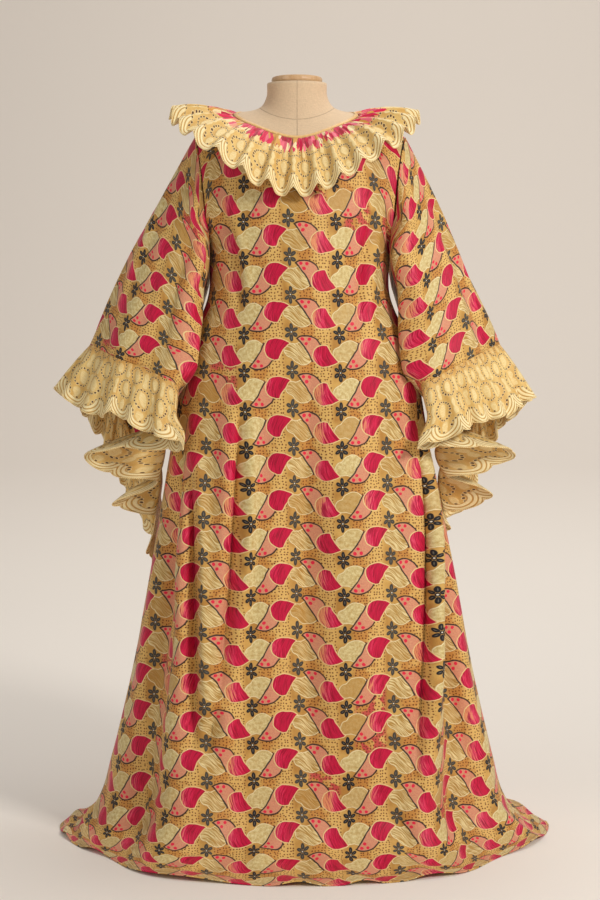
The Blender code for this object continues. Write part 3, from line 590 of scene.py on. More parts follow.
def ruffle_surface(seam, hem, flutes, flare, scallops, arch, rows, gather):
    """Return a gathered strip between two closed loops and its lace coordinates.

    The parameters are the turn round the strip and the share of its depth. Flutes swing it
    square to itself, nothing at the seam and most at the hem, uneven in size and spacing.
    The hem is drawn back between scallop points, and finer gathers die out from the seam.
    """
    count = len(seam)
    turn = np.arange(count) / count
    run = hem - seam
    along = np.roll(seam, -6, axis=0) - np.roll(seam, 6, axis=0)
    normal = unit(np.cross(along, run))
    phase = math.tau * flutes * turn + 0.7 * np.sin(math.tau * 3 * turn)
    place = (phase / math.tau - 0.25) * scallops / flutes
    scallop = np.abs(np.cos(np.pi * place)) ** 0.45
    size = 1 + 0.22 * np.sin(math.tau * 5 * turn + 1.0) + 0.12 * np.sin(math.tau * 11 * turn)
    wave = np.tanh(1.4 * (np.sin(phase) + 0.30)) * size
    fine = np.sin(2 * phase + 1.3) + 0.6 * np.sin(3.0 * phase + 2.0 * np.sin(math.tau * 4 * turn))
    grid = []
    for v in np.linspace(0, 1, rows):
        reach = v * (1 - SCALLOP_NOTCH * (1 - scallop) * v ** 3)
        row = seam + run * reach[:, None]
        row = row + normal * (wave * flare * (0.04 + 0.96 * v ** 1.2))[:, None]
        small = gather * fine * v ** 0.5 * (1 - v) ** 1.6 * smoothstep(0.0, 0.10, v)
        row = row + normal * small[:, None]
        row[:, 2] += arch * 4 * v * (1 - v)
        grid.append(row)
    grid = np.array(grid)
    depth = np.linalg.norm(run, axis=-1)
    u = np.append(place, place[0] + scallops)[None, :] + np.zeros((rows, 1))
    v = np.linspace(1, 0, rows)[:, None] * np.append(depth, depth[0])[None, :]
    return grid, u, v


def cuff_surface(side, scale, rows):
    """Return one cuff ruffle's outer face and lace coordinates; scale is points a scallop."""
    table = CUFF_HEM_LEFT if side < 0 else CUFF_HEM_RIGHT
    count = CUFF_SCALLOPS * scale
    turn = np.arange(count) / count
    before, seam = sleeve_rings(turn, side, 8)[-2:]
    out, y, z = (loop_through(table, name, turn) for name in ("out", "y", "z"))
    hem = np.stack([side * out, y, z], -1)
    along = unit(np.roll(seam, -2, axis=0) - np.roll(seam, 2, axis=0))
    into = unit(square_to(seam - before, along))
    leave = unit(square_to(hem - seam, along))
    bend = np.linalg.norm(np.cross(into, leave), axis=-1, keepdims=True)
    point = np.exp(-((turn - 0.605) / 0.045) ** 2)[:, None]
    seam = seam + leave * (SEAM + 0.0004 + 1.1 * WALL * bend + 0.0020 * point)
    quiet = smoothstep(0.21, 0.29, turn) * (1 - smoothstep(0.61, 0.68, turn))
    flare = CUFF_FLARE * (1 - 0.75 * quiet)
    grid, u, v = ruffle_surface(seam, hem, CUFF_FLUTES, flare, CUFF_SCALLOPS, CUFF_ARCH, rows,
                                CUFF_GATHER)
    loose = smoothstep(0.48, 0.56, grid[..., 2]) * (1 - smoothstep(0.76, 0.86, grid[..., 2]))
    way = np.linspace(0, 1, len(grid))[:, None]
    grid = hang_against(grid, side, SLEEVE_PULL * loose * smoothstep(0.0, 0.4, way))
    outward = unit(np.cross(along, into)) * side
    tuck = (seam - into * 0.005 - outward * 0.0028)[None]
    return (np.concatenate([tuck, grid]), np.concatenate([u[:1], u]),
            np.concatenate([v[:1] + 0.005, v]))


def collar_surface(scale, rows):
    """Return the collar ruffle's upper face and lace coordinates."""
    count = COLLAR_SCALLOPS * scale
    turn = np.arange(count) / count
    neck, away, normal = neckline(turn)
    reach = loop_through(COLLAR, "reach", turn)[:, None]
    rise = loop_through(COLLAR, "rise", turn)[:, None]
    level = unit(away * np.array([1.0, 1.0, 0.0]))
    seam = neck + normal * (WALL + LACE_WALL + SEAM + 0.0012) + away * 0.0012
    hem = neck + level * reach + UP * rise
    return ruffle_surface(seam, hem, COLLAR_FLUTES, COLLAR_FLARE, COLLAR_SCALLOPS,
                          COLLAR_ARCH, rows, COLLAR_GATHER)


def binding_surface(count, around):
    """Return the binding: a rounded flat section carried round the neckline."""
    turn = np.arange(count) / count
    neck, away, normal = neckline(turn)
    angle = math.tau * (np.arange(around) + 0.5) / around
    wide = np.sign(np.cos(angle)) * np.abs(np.cos(angle)) ** 0.7 * BINDING_WIDTH / 2
    tall = np.sign(np.sin(angle)) * np.abs(np.sin(angle)) ** 0.7 * BINDING_THICK / 2
    centre = neck - away * (BINDING_WIDTH / 2 + SEAM + 0.0005) + normal * (BINDING_THICK / 2)
    grid = centre[None] + away[None] * wide[:, None, None] + normal[None] * tall[:, None, None]
    grid = np.concatenate([grid, grid[:1]])
    u = np.linspace(0, 0.66, count + 1)[None, :] + np.zeros((around + 1, 1))
    v = np.linspace(0, 0.022, around + 1)[:, None] + 0 * u
    return grid, u, v


def form_surface(columns, rows):
    """Return the form's skin: smooth curves down through its rings, and its map.

    The rings are ellipses with their own half widths and depths, and three follow the
    neckline; the map's second number is the ring's place in the list.
    """
    turn = np.arange(columns) / columns
    neck, away, normal = neckline(turn)
    angle = math.tau * turn
    ahead = np.clip(np.sin(angle), 0, 1)
    astern = np.clip(-np.sin(angle), 0, 1)

    def ring(half, front, back, z_side, z_front, z_back):
        depth = np.where(np.sin(angle) > 0, front, back)
        z = z_side + (z_front - z_side) * ahead ** 1.6 + (z_back - z_side) * astern ** 1.6
        return np.stack([FORM_X - half * np.cos(angle), -depth * np.sin(angle), z], -1)

    names = ("half", "front", "back", "z_side", "z_front", "z_back")
    rings = [ring(*sizes) for sizes in zip(*(NECK[name] for name in names))]
    rings.append(neck - away * (BINDING_WIDTH + 0.004) - normal * REST)
    rings.append(neck - normal * REST)
    rings.append(neck + away * 0.007 - normal * 0.0095)
    rings += [ring(*sizes) for sizes in zip(*(FORM[name] for name in names))]
    rings = np.array(rings)
    at = np.linspace(0, len(rings) - 1, rows)
    flat = rings.reshape(len(rings), -1)
    slopes = np.gradient(flat, axis=0)
    i = np.clip(np.floor(at).astype(int), 0, len(rings) - 2)
    t = (at - i)[:, None]
    points = cubic(flat[i], flat[i + 1], slopes[i], slopes[i + 1], t)
    grid = points.reshape(rows, columns, 3)
    u = np.linspace(0, 1, columns + 1)[None, :] + np.zeros((rows, 1))
    v = at[:, None] + 0 * u
    return grid, u, v


def cord_surface(path, radius, around):
    """Return a closed round tube: circles of the radius square to the path at each point."""
    along = unit(np.roll(path, -1, axis=0) - np.roll(path, 1, axis=0))
    side = unit(np.cross(along, UP + np.array([0.013, 0.007, 0.0])))
    over = np.cross(side, along)
    angle = math.tau * np.arange(around + 1) / around
    grid = (path[None] + radius * (np.cos(angle)[:, None, None] * side[None]
                                   + np.sin(angle)[:, None, None] * over[None]))
    steps = np.linalg.norm(np.roll(path, -1, axis=0) - path, axis=-1)
    u = np.concatenate([[0], np.cumsum(steps)])[None, :] + np.zeros((around + 1, 1))
    v = (radius * angle)[:, None] + 0 * u
    return grid, u, v


def sheet_object(name, surface, closed, flip, material, capped=False, weld=False):
    """Put a grid of points into a mesh, with its cloth coordinates as the UV map.

    A closed grid joins its last column to its first; its map has one column more.
    """
    grid, u, v = surface
    rows, columns = grid.shape[:2]
    r = np.arange(rows - 1)[:, None]
    c = np.arange(columns if closed else columns - 1)[None, :]
    d = (c + 1) % columns
    quads = np.stack([r * columns + c, (r + 1) * columns + c, (r + 1) * columns + d,
                      r * columns + d], -1).reshape(-1, 4)
    corners = np.stack([u, v], -1)
    uv = np.stack([corners[:-1, :-1], corners[1:, :-1], corners[1:, 1:], corners[:-1, 1:]], 2)
    uv = uv.reshape(-1, 4, 2)
    if flip:
        quads = quads[:, ::-1]
        uv = uv[:, ::-1]
    faces = quads.tolist()
    uv = uv.reshape(-1, 2)
    if capped:
        first = list(range(columns))
        last = [(rows - 1) * columns + k for k in range(columns)]
        faces.append(first[::-1] if flip else first)
        faces.append(last if flip else last[::-1])
        uv = np.concatenate([uv, np.zeros((2 * columns, 2))])
    mesh = bpy.data.meshes.new(name)
    mesh.from_pydata((grid.reshape(-1, 3) + SHIFT).tolist(), [], faces)
    layer = mesh.uv_layers.new(name="cloth")
    layer.data.foreach_set("uv", uv.astype(np.float32).ravel())
    mesh.shade_smooth()
    mesh.materials.append(material)
    item = bpy.data.objects.new(name, mesh)
    bpy.context.scene.collection.objects.link(item)
    if weld:
        merge = item.modifiers.new("Weld", "WELD")
        merge.merge_threshold = 0.00001
    return item


def give_wall(item, thickness, offset):
    """Give an open sheet its wall; offset 1 grows outwards and -1 inwards."""
    wall = item.modifiers.new("Wall", "SOLIDIFY")
    wall.thickness = thickness
    wall.offset = offset
    wall.use_even_offset = False
    wall.use_rim = True


def settle(item, node):
    """Let a piece ride with the part and stand for its node, which is hidden."""
    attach(item, "root")
    if node:
        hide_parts(node)


def mark_seam(item, surface):
    """Store each point's distance in metres below the seam as the attribute from_seam."""
    below = (surface[2][:1] - surface[2])[:, :-1]
    layer = item.data.attributes.new("from_seam", "FLOAT", "POINT")
    layer.data.foreach_set("value", below.astype(np.float32).ravel())


def linear(code):
    """Turn an sRGB hex colour such as "#D9AE62" into linear red, green and blue."""
    parts = [int(code[i:i + 2], 16) / 255 for i in (1, 3, 5)]
    return [p / 12.92 if p <= 0.04045 else ((p + 0.055) / 1.055) ** 2.4 for p in parts]


def new_material(name, roughness, **settings):
    """Return a material of this name and its tree, with plain settings on its shader."""
    material = bpy.data.materials.new(name)
    material.use_nodes = True
    shader = material.node_tree.nodes["Principled BSDF"]
    shader.inputs["Roughness"].default_value = roughness
    for socket, value in settings.items():
        shader.inputs[socket.replace("_", " ")].default_value = value
    return material, material.node_tree, shader


# Kinds of node.
MATH = "ShaderNodeMath"
VECTOR = "ShaderNodeVectorMath"
MIX = "ShaderNodeMix"
NOISE = "ShaderNodeTexNoise"
RANDOM = "ShaderNodeTexWhiteNoise"
CELLS = "ShaderNodeTexVoronoi"
RAMP = "ShaderNodeValToRGB"
MAPPING = "ShaderNodeMapping"
SPLIT = "ShaderNodeSeparateXYZ"
JOIN = "ShaderNodeCombineXYZ"
GROUP = "ShaderNodeGroup"
BUMP = "ShaderNodeBump"

# What they are set to. Clamped ones keep their answer between 0 and 1.
SCALE_ADD = {"operation": "MULTIPLY_ADD"}
CLAMPED = {"operation": "MULTIPLY_ADD", "use_clamp": True}
SUM = {"operation": "ADD"}
LESS = {"operation": "SUBTRACT"}
LESS_CLAMPED = {"operation": "SUBTRACT", "use_clamp": True}
TIMES = {"operation": "MULTIPLY"}
TIMES_CLAMPED = {"operation": "MULTIPLY", "use_clamp": True}
SHARE = {"operation": "DIVIDE"}
MOST = {"operation": "MAXIMUM"}
LEAST = {"operation": "MINIMUM"}
UNSIGNED = {"operation": "ABSOLUTE"}
WHOLE = {"operation": "FLOOR"}
REMAINDER = {"operation": "FLOORED_MODULO"}
WRAPPED = {"operation": "WRAP"}
LENGTH = {"operation": "LENGTH"}
APART = {"operation": "DISTANCE"}
COLOUR = {"data_type": "RGBA"}
SHADED = {"data_type": "RGBA", "blend_type": "MULTIPLY"}
FLAT = {"noise_dimensions": "2D"}
SOLID = {"noise_dimensions": "3D"}
FLAT_CELLS = {"voronoi_dimensions": "2D"}
PLACED = {"vector_type": "TEXTURE"}
CLOTH_MAP = {"uv_map": "cloth"}


def node(tree, kind, settings=None, **links):
    """Add a node, set its properties and inputs, and return its first live output.

    A key such as _0 is an input's number and any other key is its name. A value that is a
    socket is linked, and any other value is set.
    """
    item = tree.nodes.new(kind)
    for key, value in (settings or {}).items():
        setattr(item, key, value)
    for key, value in links.items():
        number = key[1:]
        socket = item.inputs[int(number) if number.isdigit() else key.replace("_", " ")]
        if isinstance(value, bpy.types.NodeSocket):
            tree.links.new(value, socket)
        else:
            socket.default_value = value
    return next((output for output in item.outputs if output.enabled), None)


# The print's half repeat in millimetres; the next half stands beside it, turned over.
HALF_WIDE = 91.5
HALF_TALL = 72.7


def half_repeat():
    """Return the node group that folds the cloth into one half repeat of the print.

    It takes the place on the cloth and the corner of a motif's own window, both in
    millimetres, and gives the place in the half repeat, whole and split up, the number of
    the repeat and whether it is an odd one, which is turned over.
    """
    group = bpy.data.node_groups.get("half_repeat")
    if group:
        return group
    group = bpy.data.node_groups.new("half_repeat", "ShaderNodeTree")
    for name, kind, way in (("Place", "NodeSocketVector", "INPUT"),
                            ("Corner", "NodeSocketVector", "INPUT"),
                            ("Local", "NodeSocketVector", "OUTPUT"),
                            ("Number", "NodeSocketVector", "OUTPUT"),
                            ("X", "NodeSocketFloat", "OUTPUT"),
                            ("Y", "NodeSocketFloat", "OUTPUT"),
                            ("Odd", "NodeSocketFloat", "OUTPUT")):
        group.interface.new_socket(name, in_out=way, socket_type=kind)
    given = node(group, "NodeGroupInput").node
    place = node(group, SPLIT, _0=given.outputs["Place"]).node
    corner = node(group, SPLIT, _0=given.outputs["Corner"]).node
    from_corner = node(group, MATH, LESS, _0=place.outputs["X"], _1=corner.outputs["X"])
    share = node(group, MATH, SHARE, _0=from_corner, _1=HALF_WIDE)
    count = node(group, MATH, WHOLE, _0=share)
    x = node(group, MATH, SCALE_ADD, _0=count, _1=-HALF_WIDE, _2=place.outputs["X"])
    odd = node(group, MATH, REMAINDER, _0=count, _1=2.0)
    turn = node(group, MATH, SCALE_ADD, _0=odd, _1=-2.0, _2=1.0)
    level = node(group, MATH, TIMES, _0=place.outputs["Y"], _1=turn)
    low = node(group, MATH, LESS, _0=level, _1=corner.outputs["Y"])
    rows = node(group, MATH, SHARE, _0=low, _1=HALF_TALL)
    row = node(group, MATH, WHOLE, _0=rows)
    y = node(group, MATH, SCALE_ADD, _0=row, _1=-HALF_TALL, _2=level)
    local = node(group, JOIN, _0=x, _1=y)
    number = node(group, JOIN, _0=count, _1=row, _2=odd)
    node(group, "NodeGroupOutput", _0=local, _1=number, _2=x, _3=y, _4=odd)
    return group


def motif_window(tree, place, left, low):
    """Return the outputs of a motif's own window, whose corner is given in millimetres."""
    return node(tree, GROUP, {"node_tree": half_repeat()}, Place=place,
                Corner=(left, low, 0.0)).node.outputs


def from_round(tree, place, x, y, radius, outside=False):
    """Return the distance in millimetres from a round's edge, below zero inside or outside."""
    far = node(tree, VECTOR, APART, _0=place, _1=(x, y, 0.0))
    ends = (radius, far) if outside else (far, radius)
    return node(tree, MATH, LESS, _0=ends[0], _1=ends[1])


def wander(tree, place, scale, far):
    """Return the place moved softly to and fro, as hand-guided stitching wanders."""
    noise = node(tree, NOISE, FLAT, Vector=place, Scale=scale, Detail=1.0).node.outputs["Color"]
    moved = node(tree, VECTOR, SCALE_ADD, _0=noise, _1=(2 * far, 2 * far, 0.0), _2=place)
    return node(tree, VECTOR, LESS, _0=moved, _1=(far, far, 0.0))


def cover(tree, shader, colour, height, strength, distance):
    """Give a shader its colour and the small relief of its surface."""
    tree.links.new(colour, shader.inputs["Base Color"])
    bump = node(tree, BUMP, Strength=strength, Distance=distance, Height=height)
    tree.links.new(bump, shader.inputs["Normal"])


# The black thread of the leaves' cords and the flowers' petals.
BLACK_THREAD = "#1E1D21"


def eyelet_fields(tree, place, colour):
    """Add fields of small eyelets, about 6 mm apart and 2.8 mm wide, between the motifs.

    Some of them are on orange or crimson dyed patches. The eyelets are painted dark brown,
    the shade seen through their holes.
    """
    field = motif_window(tree, place, 0.0, -55.0)
    inset = node(tree, MATH, LESS, _0=field["X"], _1=45.5)
    inset = node(tree, MATH, UNSIGNED, _0=inset)
    inside = node(tree, MATH, CLAMPED, _0=inset, _1=-0.5, _2=16.2)
    blot = node(tree, NOISE, FLAT, Vector=place, Scale=0.06, Detail=2.0)
    light = node(tree, MATH, SCALE_ADD, _0=blot, _1=50.0, _2=field["X"])
    light = node(tree, MATH, CLAMPED, _0=light, _1=0.05, _2=-2.9)
    dyed = node(tree, MIX, COLOUR, _0=light, _6=(*linear("#C98A42"), 1),
                _7=(*linear("#E6BC6E"), 1))
    chance = node(tree, RANDOM, SOLID, Vector=field["Number"])
    rare = node(tree, MATH, {"operation": "GREATER_THAN"}, _0=chance, _1=0.92)
    patchy = node(tree, MATH, CLAMPED, _0=blot, _1=14.0, _2=-6.2)
    rare = node(tree, MATH, TIMES, _0=rare, _1=patchy)
    dyed = node(tree, MIX, COLOUR, _0=rare, _6=dyed, _7=(*linear("#C93A48"), 1))
    soft = node(tree, MATH, CLAMPED, _0=inset, _1=-0.10, _2=3.4)
    dye_share = node(tree, MATH, TIMES, _0=soft, _1=0.85)
    colour = node(tree, MIX, COLOUR, _0=dye_share, _6=colour, _7=dyed)
    shaded_holes = node(tree, CELLS, FLAT_CELLS, Vector=place, Scale=0.165, Randomness=0.5)
    shaded_holes = node(tree, MATH, CLAMPED, _0=shaded_holes, _1=-8.0, _2=2.35)
    shaded_holes = node(tree, MATH, TIMES, _0=shaded_holes, _1=inside)
    # Painted shade: the eyelets are coloured dark brown, the shade seen through their holes.
    colour = node(tree, MIX, COLOUR, _0=shaded_holes, _6=colour, _7=(*linear("#6F3516"), 1))
    height = node(tree, MATH, TIMES, _0=shaded_holes, _1=-0.6)
    return colour, height


def cream_comma(tree, place, colour, height):
    """Add the cream comma: two rounds joined softly, with a pale rim.

    Every second one is worked in flowing strands, and some are gilt. Its strands and rough
    fill are painted lighter where raised and darker between, as highlight and shade, and its
    edge carries a painted shadow.
    """
    cream = motif_window(tree, place, -40.0, -35.5)
    head = from_round(tree, cream["Local"], 20.0, 1.5, 22.5)
    tail = from_round(tree, cream["Local"], -0.5, -4.5, 14.0)
    cream_edge = node(tree, MATH, {"operation": "SMOOTH_MIN"}, _0=head, _1=tail, _2=6.0)
    bend = node(tree, MATH, SCALE_ADD, _0=cream["X"], _1=0.115, _2=-1.6)
    bend = node(tree, MATH, {"operation": "SINE"}, _0=bend)
    flow = node(tree, MATH, SCALE_ADD, _0=bend, _1=-4.5, _2=cream["Y"])
    flow = node(tree, MATH, SCALE_ADD, _0=cream["X"], _1=-0.62, _2=flow)
    run = node(tree, MATH, TIMES, _0=cream["X"], _1=0.05)
    lines = node(tree, MATH, TIMES, _0=flow, _1=0.33)
    strand = node(tree, JOIN, _0=run, _1=lines)
    strand = node(tree, VECTOR, SCALE_ADD, _0=cream["Number"], _1=(7.0, 13.0, 5.0), _2=strand)
    strand = node(tree, NOISE, SOLID, Vector=strand, Scale=1.0, Detail=1.5, Roughness=0.6)
    strand = node(tree, MATH, CLAMPED, _0=strand, _1=4.2, _2=-1.7)
    brushed = node(tree, NOISE, FLAT, Vector=place, Scale=0.16, Detail=3.0, Roughness=0.65)
    brushed = node(tree, MATH, CLAMPED, _0=brushed, _1=1.9, _2=-0.40)
    # Painted highlight and shade: both fills are lighter where their strands stand raised and
    # darker between them.
    plain = node(tree, MIX, COLOUR, _0=brushed, _6=(*linear("#BE9C56"), 1),
                 _7=(*linear("#EBDBA2"), 1))
    strands_lit_and_shaded = node(tree, MIX, COLOUR, _0=strand, _6=(*linear("#B88E45"), 1),
                    _7=(*linear("#EFDAA0"), 1))
    strands_lit_and_shaded = node(tree, MIX, COLOUR, _0=cream["Odd"], _6=plain, _7=strands_lit_and_shaded)
    shadow = node(tree, MATH, CLAMPED, _0=cream_edge, _1=0.16, _2=0.55)
    shadow = node(tree, MATH, TIMES, _0=shadow, _1=0.40)
    strands_lit_and_shaded = node(tree, MIX, COLOUR, _0=shadow, _6=strands_lit_and_shaded, _7=(*linear("#C4994E"), 1))
    gilt = node(tree, RANDOM, SOLID, Vector=cream["Number"])
    gilt = node(tree, MATH, CLAMPED, _0=gilt, _1=2.4, _2=-1.55)
    strands_lit_and_shaded = node(tree, MIX, COLOUR, _0=gilt, _6=strands_lit_and_shaded, _7=(*linear("#BC8A3E"), 1))
    rim = node(tree, MATH, SUM, _0=cream_edge, _1=1.1)
    rim = node(tree, MATH, UNSIGNED, _0=rim)
    rim = node(tree, MATH, CLAMPED, _0=rim, _1=-1.1, _2=1.2)
    strands_lit_and_shaded = node(tree, MIX, COLOUR, _0=rim, _6=strands_lit_and_shaded, _7=(*linear("#F2E2B2"), 1))
    cream_in = node(tree, MATH, CLAMPED, _0=cream_edge, _1=-1.2, _2=0.5)
    colour = node(tree, MIX, COLOUR, _0=cream_in, _6=colour, _7=strands_lit_and_shaded)
    strand = node(tree, MIX, _0=cream["Odd"], _2=brushed, _3=strand)
    lift = node(tree, MATH, SCALE_ADD, _0=strand, _1=0.7, _2=0.35)
    lift = node(tree, MATH, TIMES, _0=lift, _1=cream_in)
    height = node(tree, MATH, MOST, _0=height, _1=lift)
    return colour, height, cream_in


def salmon_leaf(tree, place, colour, height):
    """Add the salmon leaf: a round less a much larger one, black cord, three red dots."""
    leaf = motif_window(tree, place, -12.0, -43.0)
    belly = from_round(tree, leaf["Local"], 27.0, -2.0, 30.4)
    back = from_round(tree, leaf["Local"], -121.4, 86.9, 175.0, outside=True)
    leaf_edge = node(tree, MATH, MOST, _0=belly, _1=back)
    leaf_top = node(tree, MATH, LESS, _0=leaf["Y"], _1=19.0)
    leaf_edge = node(tree, MATH, MOST, _0=leaf_edge, _1=leaf_top)
    leaf_in = node(tree, MATH, CLAMPED, _0=leaf_edge, _1=-1.6, _2=0.5)
    blush = node(tree, MATH, CLAMPED, _0=leaf["Y"], _1=0.022, _2=0.0)
    grain = node(tree, NOISE, FLAT, Vector=place, Scale=0.35, Detail=2.0)
    blush = node(tree, MATH, CLAMPED, _0=grain, _1=1.2, _2=blush)
    leaf_colour = node(tree, MIX, COLOUR, _0=blush, _6=(*linear("#CF7A68"), 1),
                       _7=(*linear("#E3A47C"), 1))
    colour = node(tree, MIX, COLOUR, _0=leaf_in, _6=colour, _7=leaf_colour)
    dots = 50.0
    for x, y in ((27.1, -17.0), (20.9, -26.0), (32.9, -25.6)):
        dot = node(tree, VECTOR, APART, _0=leaf["Local"], _1=(x, y, 0.0))
        dots = node(tree, MATH, LEAST, _0=dots, _1=dot)
    dot_in = node(tree, MATH, CLAMPED, _0=dots, _1=-1.6, _2=5.8)
    colour = node(tree, MIX, COLOUR, _0=dot_in, _6=colour, _7=(*linear("#E52A48"), 1))
    cord = node(tree, MATH, UNSIGNED, _0=leaf_edge)
    cord = node(tree, MATH, CLAMPED, _0=cord, _1=-1.5, _2=2.6)
    below = node(tree, MATH, CLAMPED, _0=leaf_top, _1=-0.8, _2=-0.5)
    cord = node(tree, MATH, TIMES, _0=cord, _1=below)
    cord_share = node(tree, MATH, TIMES, _0=cord, _1=0.92)
    colour = node(tree, MIX, COLOUR, _0=cord_share, _6=colour, _7=(*linear(BLACK_THREAD), 1))
    lift = node(tree, MATH, SCALE_ADD, _0=leaf_in, _1=0.4, _2=cord)
    height = node(tree, MATH, MOST, _0=height, _1=lift)
    return colour, height


def crimson_drop(tree, place, colour, height, crimson):
    """Add the crimson drop: a round with a tail cut between two larger rounds.

    Its satin stitch runs from edge to edge and is ringed with a pale thread. Some fade to
    salmon. Painted shade darkens the satin where its stitches lie low.
    """
    drop = motif_window(tree, place, 18.0, -29.5)
    bowl = from_round(tree, drop["Local"], 61.0, 6.6, 20.3)
    over = from_round(tree, drop["Local"], 62.0, -20.0, 46.6)
    under = from_round(tree, drop["Local"], 155.9, -49.3, 96.8, outside=True)
    left = node(tree, MATH, LESS, _0=61.0, _1=drop["X"])
    spike = node(tree, MATH, MOST, _0=over, _1=left)
    lower = node(tree, MATH, TIMES, _0=drop["Y"], _1=-1.0)
    spike = node(tree, MATH, MOST, _0=spike, _1=lower)
    drop_edge = node(tree, MATH, LEAST, _0=bowl, _1=spike)
    drop_edge = node(tree, MATH, MOST, _0=drop_edge, _1=under)
    ring = node(tree, MATH, CLAMPED, _0=drop_edge, _1=-1.4, _2=3.0)
    colour = node(tree, MIX, COLOUR, _0=ring, _6=colour, _7=(*linear("#F0D193"), 1))
    drop_in = node(tree, MATH, CLAMPED, _0=drop_edge, _1=-1.6, _2=0.5)
    arc = node(tree, VECTOR, APART, _0=drop["Local"], _1=(112.0, -6.0, 0.0))
    arc = node(tree, MATH, TIMES, _0=arc, _1=0.42)
    stitch = node(tree, MATH, TIMES, _0=drop["Y"], _1=0.03)
    lean = node(tree, JOIN, _0=arc, _1=stitch)
    drop_number = node(tree, VECTOR, SCALE_ADD, _0=drop["Number"], _1=(7.0, 13.0, 5.0), _2=lean)
    satin = node(tree, NOISE, SOLID, Vector=drop_number, Scale=1.0, Detail=3.0, Roughness=0.62)
    chance = node(tree, RANDOM, SOLID, Vector=drop["Number"])
    fade = node(tree, MATH, SCALE_ADD, _0=drop["X"], _1=-0.030, _2=2.08)
    fade = node(tree, MATH, SCALE_ADD, _0=satin, _1=2.1, _2=fade)
    fade = node(tree, MATH, SCALE_ADD, _0=drop["Odd"], _1=0.32, _2=fade)
    fade = node(tree, MATH, SCALE_ADD, _0=chance, _1=0.75, _2=fade)
    fade = node(tree, MATH, CLAMPED, _0=fade, _1=1.15, _2=-1.98)
    red = node(tree, RAMP, _0=fade).node
    red.color_ramp.elements[0].color = (*linear("#CB1040"), 1)
    red.color_ramp.elements[1].color = (*linear("#EB9A6C"), 1)
    red.color_ramp.elements.new(0.35).color = (*crimson, 1)
    red.color_ramp.elements.new(0.68).color = (*linear("#E64A6C"), 1)
    # Painted shade: the satin turns dark crimson where its stitches lie low.
    sunk_stitch_shade = node(tree, MATH, CLAMPED, _0=satin, _1=5.0, _2=-1.62)
    stitched = node(tree, MIX, COLOUR, _0=sunk_stitch_shade, _6=(*linear("#94082A"), 1),
                    _7=red.outputs["Color"])
    colour = node(tree, MIX, COLOUR, _0=drop_in, _6=colour, _7=stitched)
    lift = node(tree, MATH, SCALE_ADD, _0=satin, _1=1.2, _2=0.4)
    lift = node(tree, MATH, TIMES, _0=lift, _1=drop_in)
    height = node(tree, MATH, MOST, _0=height, _1=lift)
    return colour, height, drop_in


def black_flower(tree, place, colour, height):
    """Add the black flower: two tall and four slanted petals with grey middles, a bead."""
    flower = motif_window(tree, place, -45.7, -2.6)
    spot = node(tree, VECTOR, LESS, _0=flower["Local"], _1=(0.0, 33.2, 0.0))
    spot = node(tree, VECTOR, UNSIGNED, _0=spot)
    petals = 50.0
    veins = 50.0
    for turn, far, half in ((0.0, 10.6, 7.0), (0.93, 8.4, 5.4)):
        petal = node(tree, "ShaderNodeVectorRotate", {"rotation_type": "Z_AXIS"}, Vector=spot,
                     Angle=turn)
        petal = node(tree, VECTOR, LESS, _0=petal, _1=(0.0, far, 0.0))
        round_in = node(tree, VECTOR, TIMES, _0=petal, _1=(1.0, 3.6 / half, 0.0))
        round_in = node(tree, VECTOR, LENGTH, _0=round_in)
        edge = node(tree, MATH, LESS, _0=round_in, _1=3.6)
        petals = node(tree, MATH, LEAST, _0=petals, _1=edge)
        vein = node(tree, VECTOR, TIMES, _0=petal, _1=(1.0, 1.5 / half, 0.0))
        vein = node(tree, VECTOR, LENGTH, _0=vein)
        veins = node(tree, MATH, LEAST, _0=veins, _1=vein)
    heart = node(tree, VECTOR, LENGTH, _0=spot)
    middle = node(tree, MATH, LESS, _0=heart, _1=3.2)
    flower_edge = node(tree, MATH, LEAST, _0=petals, _1=middle)
    flower_in = node(tree, MATH, CLAMPED, _0=flower_edge, _1=-1.6, _2=0.5)
    grey_in = node(tree, MATH, CLAMPED, _0=veins, _1=-1.6, _2=1.5)
    grey_in = node(tree, MATH, TIMES, _0=grey_in, _1=0.75)
    petal_colour = node(tree, MIX, COLOUR, _0=flower["Odd"], _6=(*linear(BLACK_THREAD), 1),
                        _7=(*linear("#46423B"), 1))
    flower_colour = node(tree, MIX, COLOUR, _0=grey_in, _6=petal_colour,
                         _7=(*linear("#7B7466"), 1))
    colour = node(tree, MIX, COLOUR, _0=flower_in, _6=colour, _7=flower_colour)
    bead = node(tree, MATH, CLAMPED, _0=heart, _1=-1.8, _2=2.9)
    colour = node(tree, MIX, COLOUR, _0=bead, _6=colour, _7=(*linear("#F0E8D4"), 1))
    lift = node(tree, MATH, SCALE_ADD, _0=bead, _1=1.2, _2=flower_in)
    height = node(tree, MATH, MOST, _0=height, _1=lift)
    return colour, height


def print_layers(tree, place, colours):
    """Draw the print on a place in millimetres; return its colour and its raised height.

    Each motif is a signed distance in millimetres, below zero inside: rounds are distances
    from a centre less a radius, drops join a round with a tail cut between two larger
    rounds, leaves are one round less another, petals are rounds drawn along a line.
    """
    # The stitching wanders by about a millimetre.
    place = wander(tree, place, 0.045, 2.0)

    # Ground: gold voile, lighter and darker in soft patches.
    patch = node(tree, NOISE, FLAT, Vector=place, Scale=0.022, Detail=2.0)
    ground = node(tree, RAMP, _0=patch).node
    ground.color_ramp.elements[0].position = 0.36
    ground.color_ramp.elements[0].color = (*linear("#B98640"), 1)
    ground.color_ramp.elements[1].position = 0.62
    ground.color_ramp.elements[1].color = (*colours.ground, 1)
    colour, height = eyelet_fields(tree, place, ground.outputs["Color"])
    colour, height, cream_in = cream_comma(tree, place, colour, height)
    colour, height = salmon_leaf(tree, place, colour, height)
    colour, height, drop_in = crimson_drop(tree, place, colour, height, colours.crimson)
    colour, height = black_flower(tree, place, colour, height)
    raised = node(tree, MATH, MOST, _0=drop_in, _1=cream_in)
    return colour, height, raised


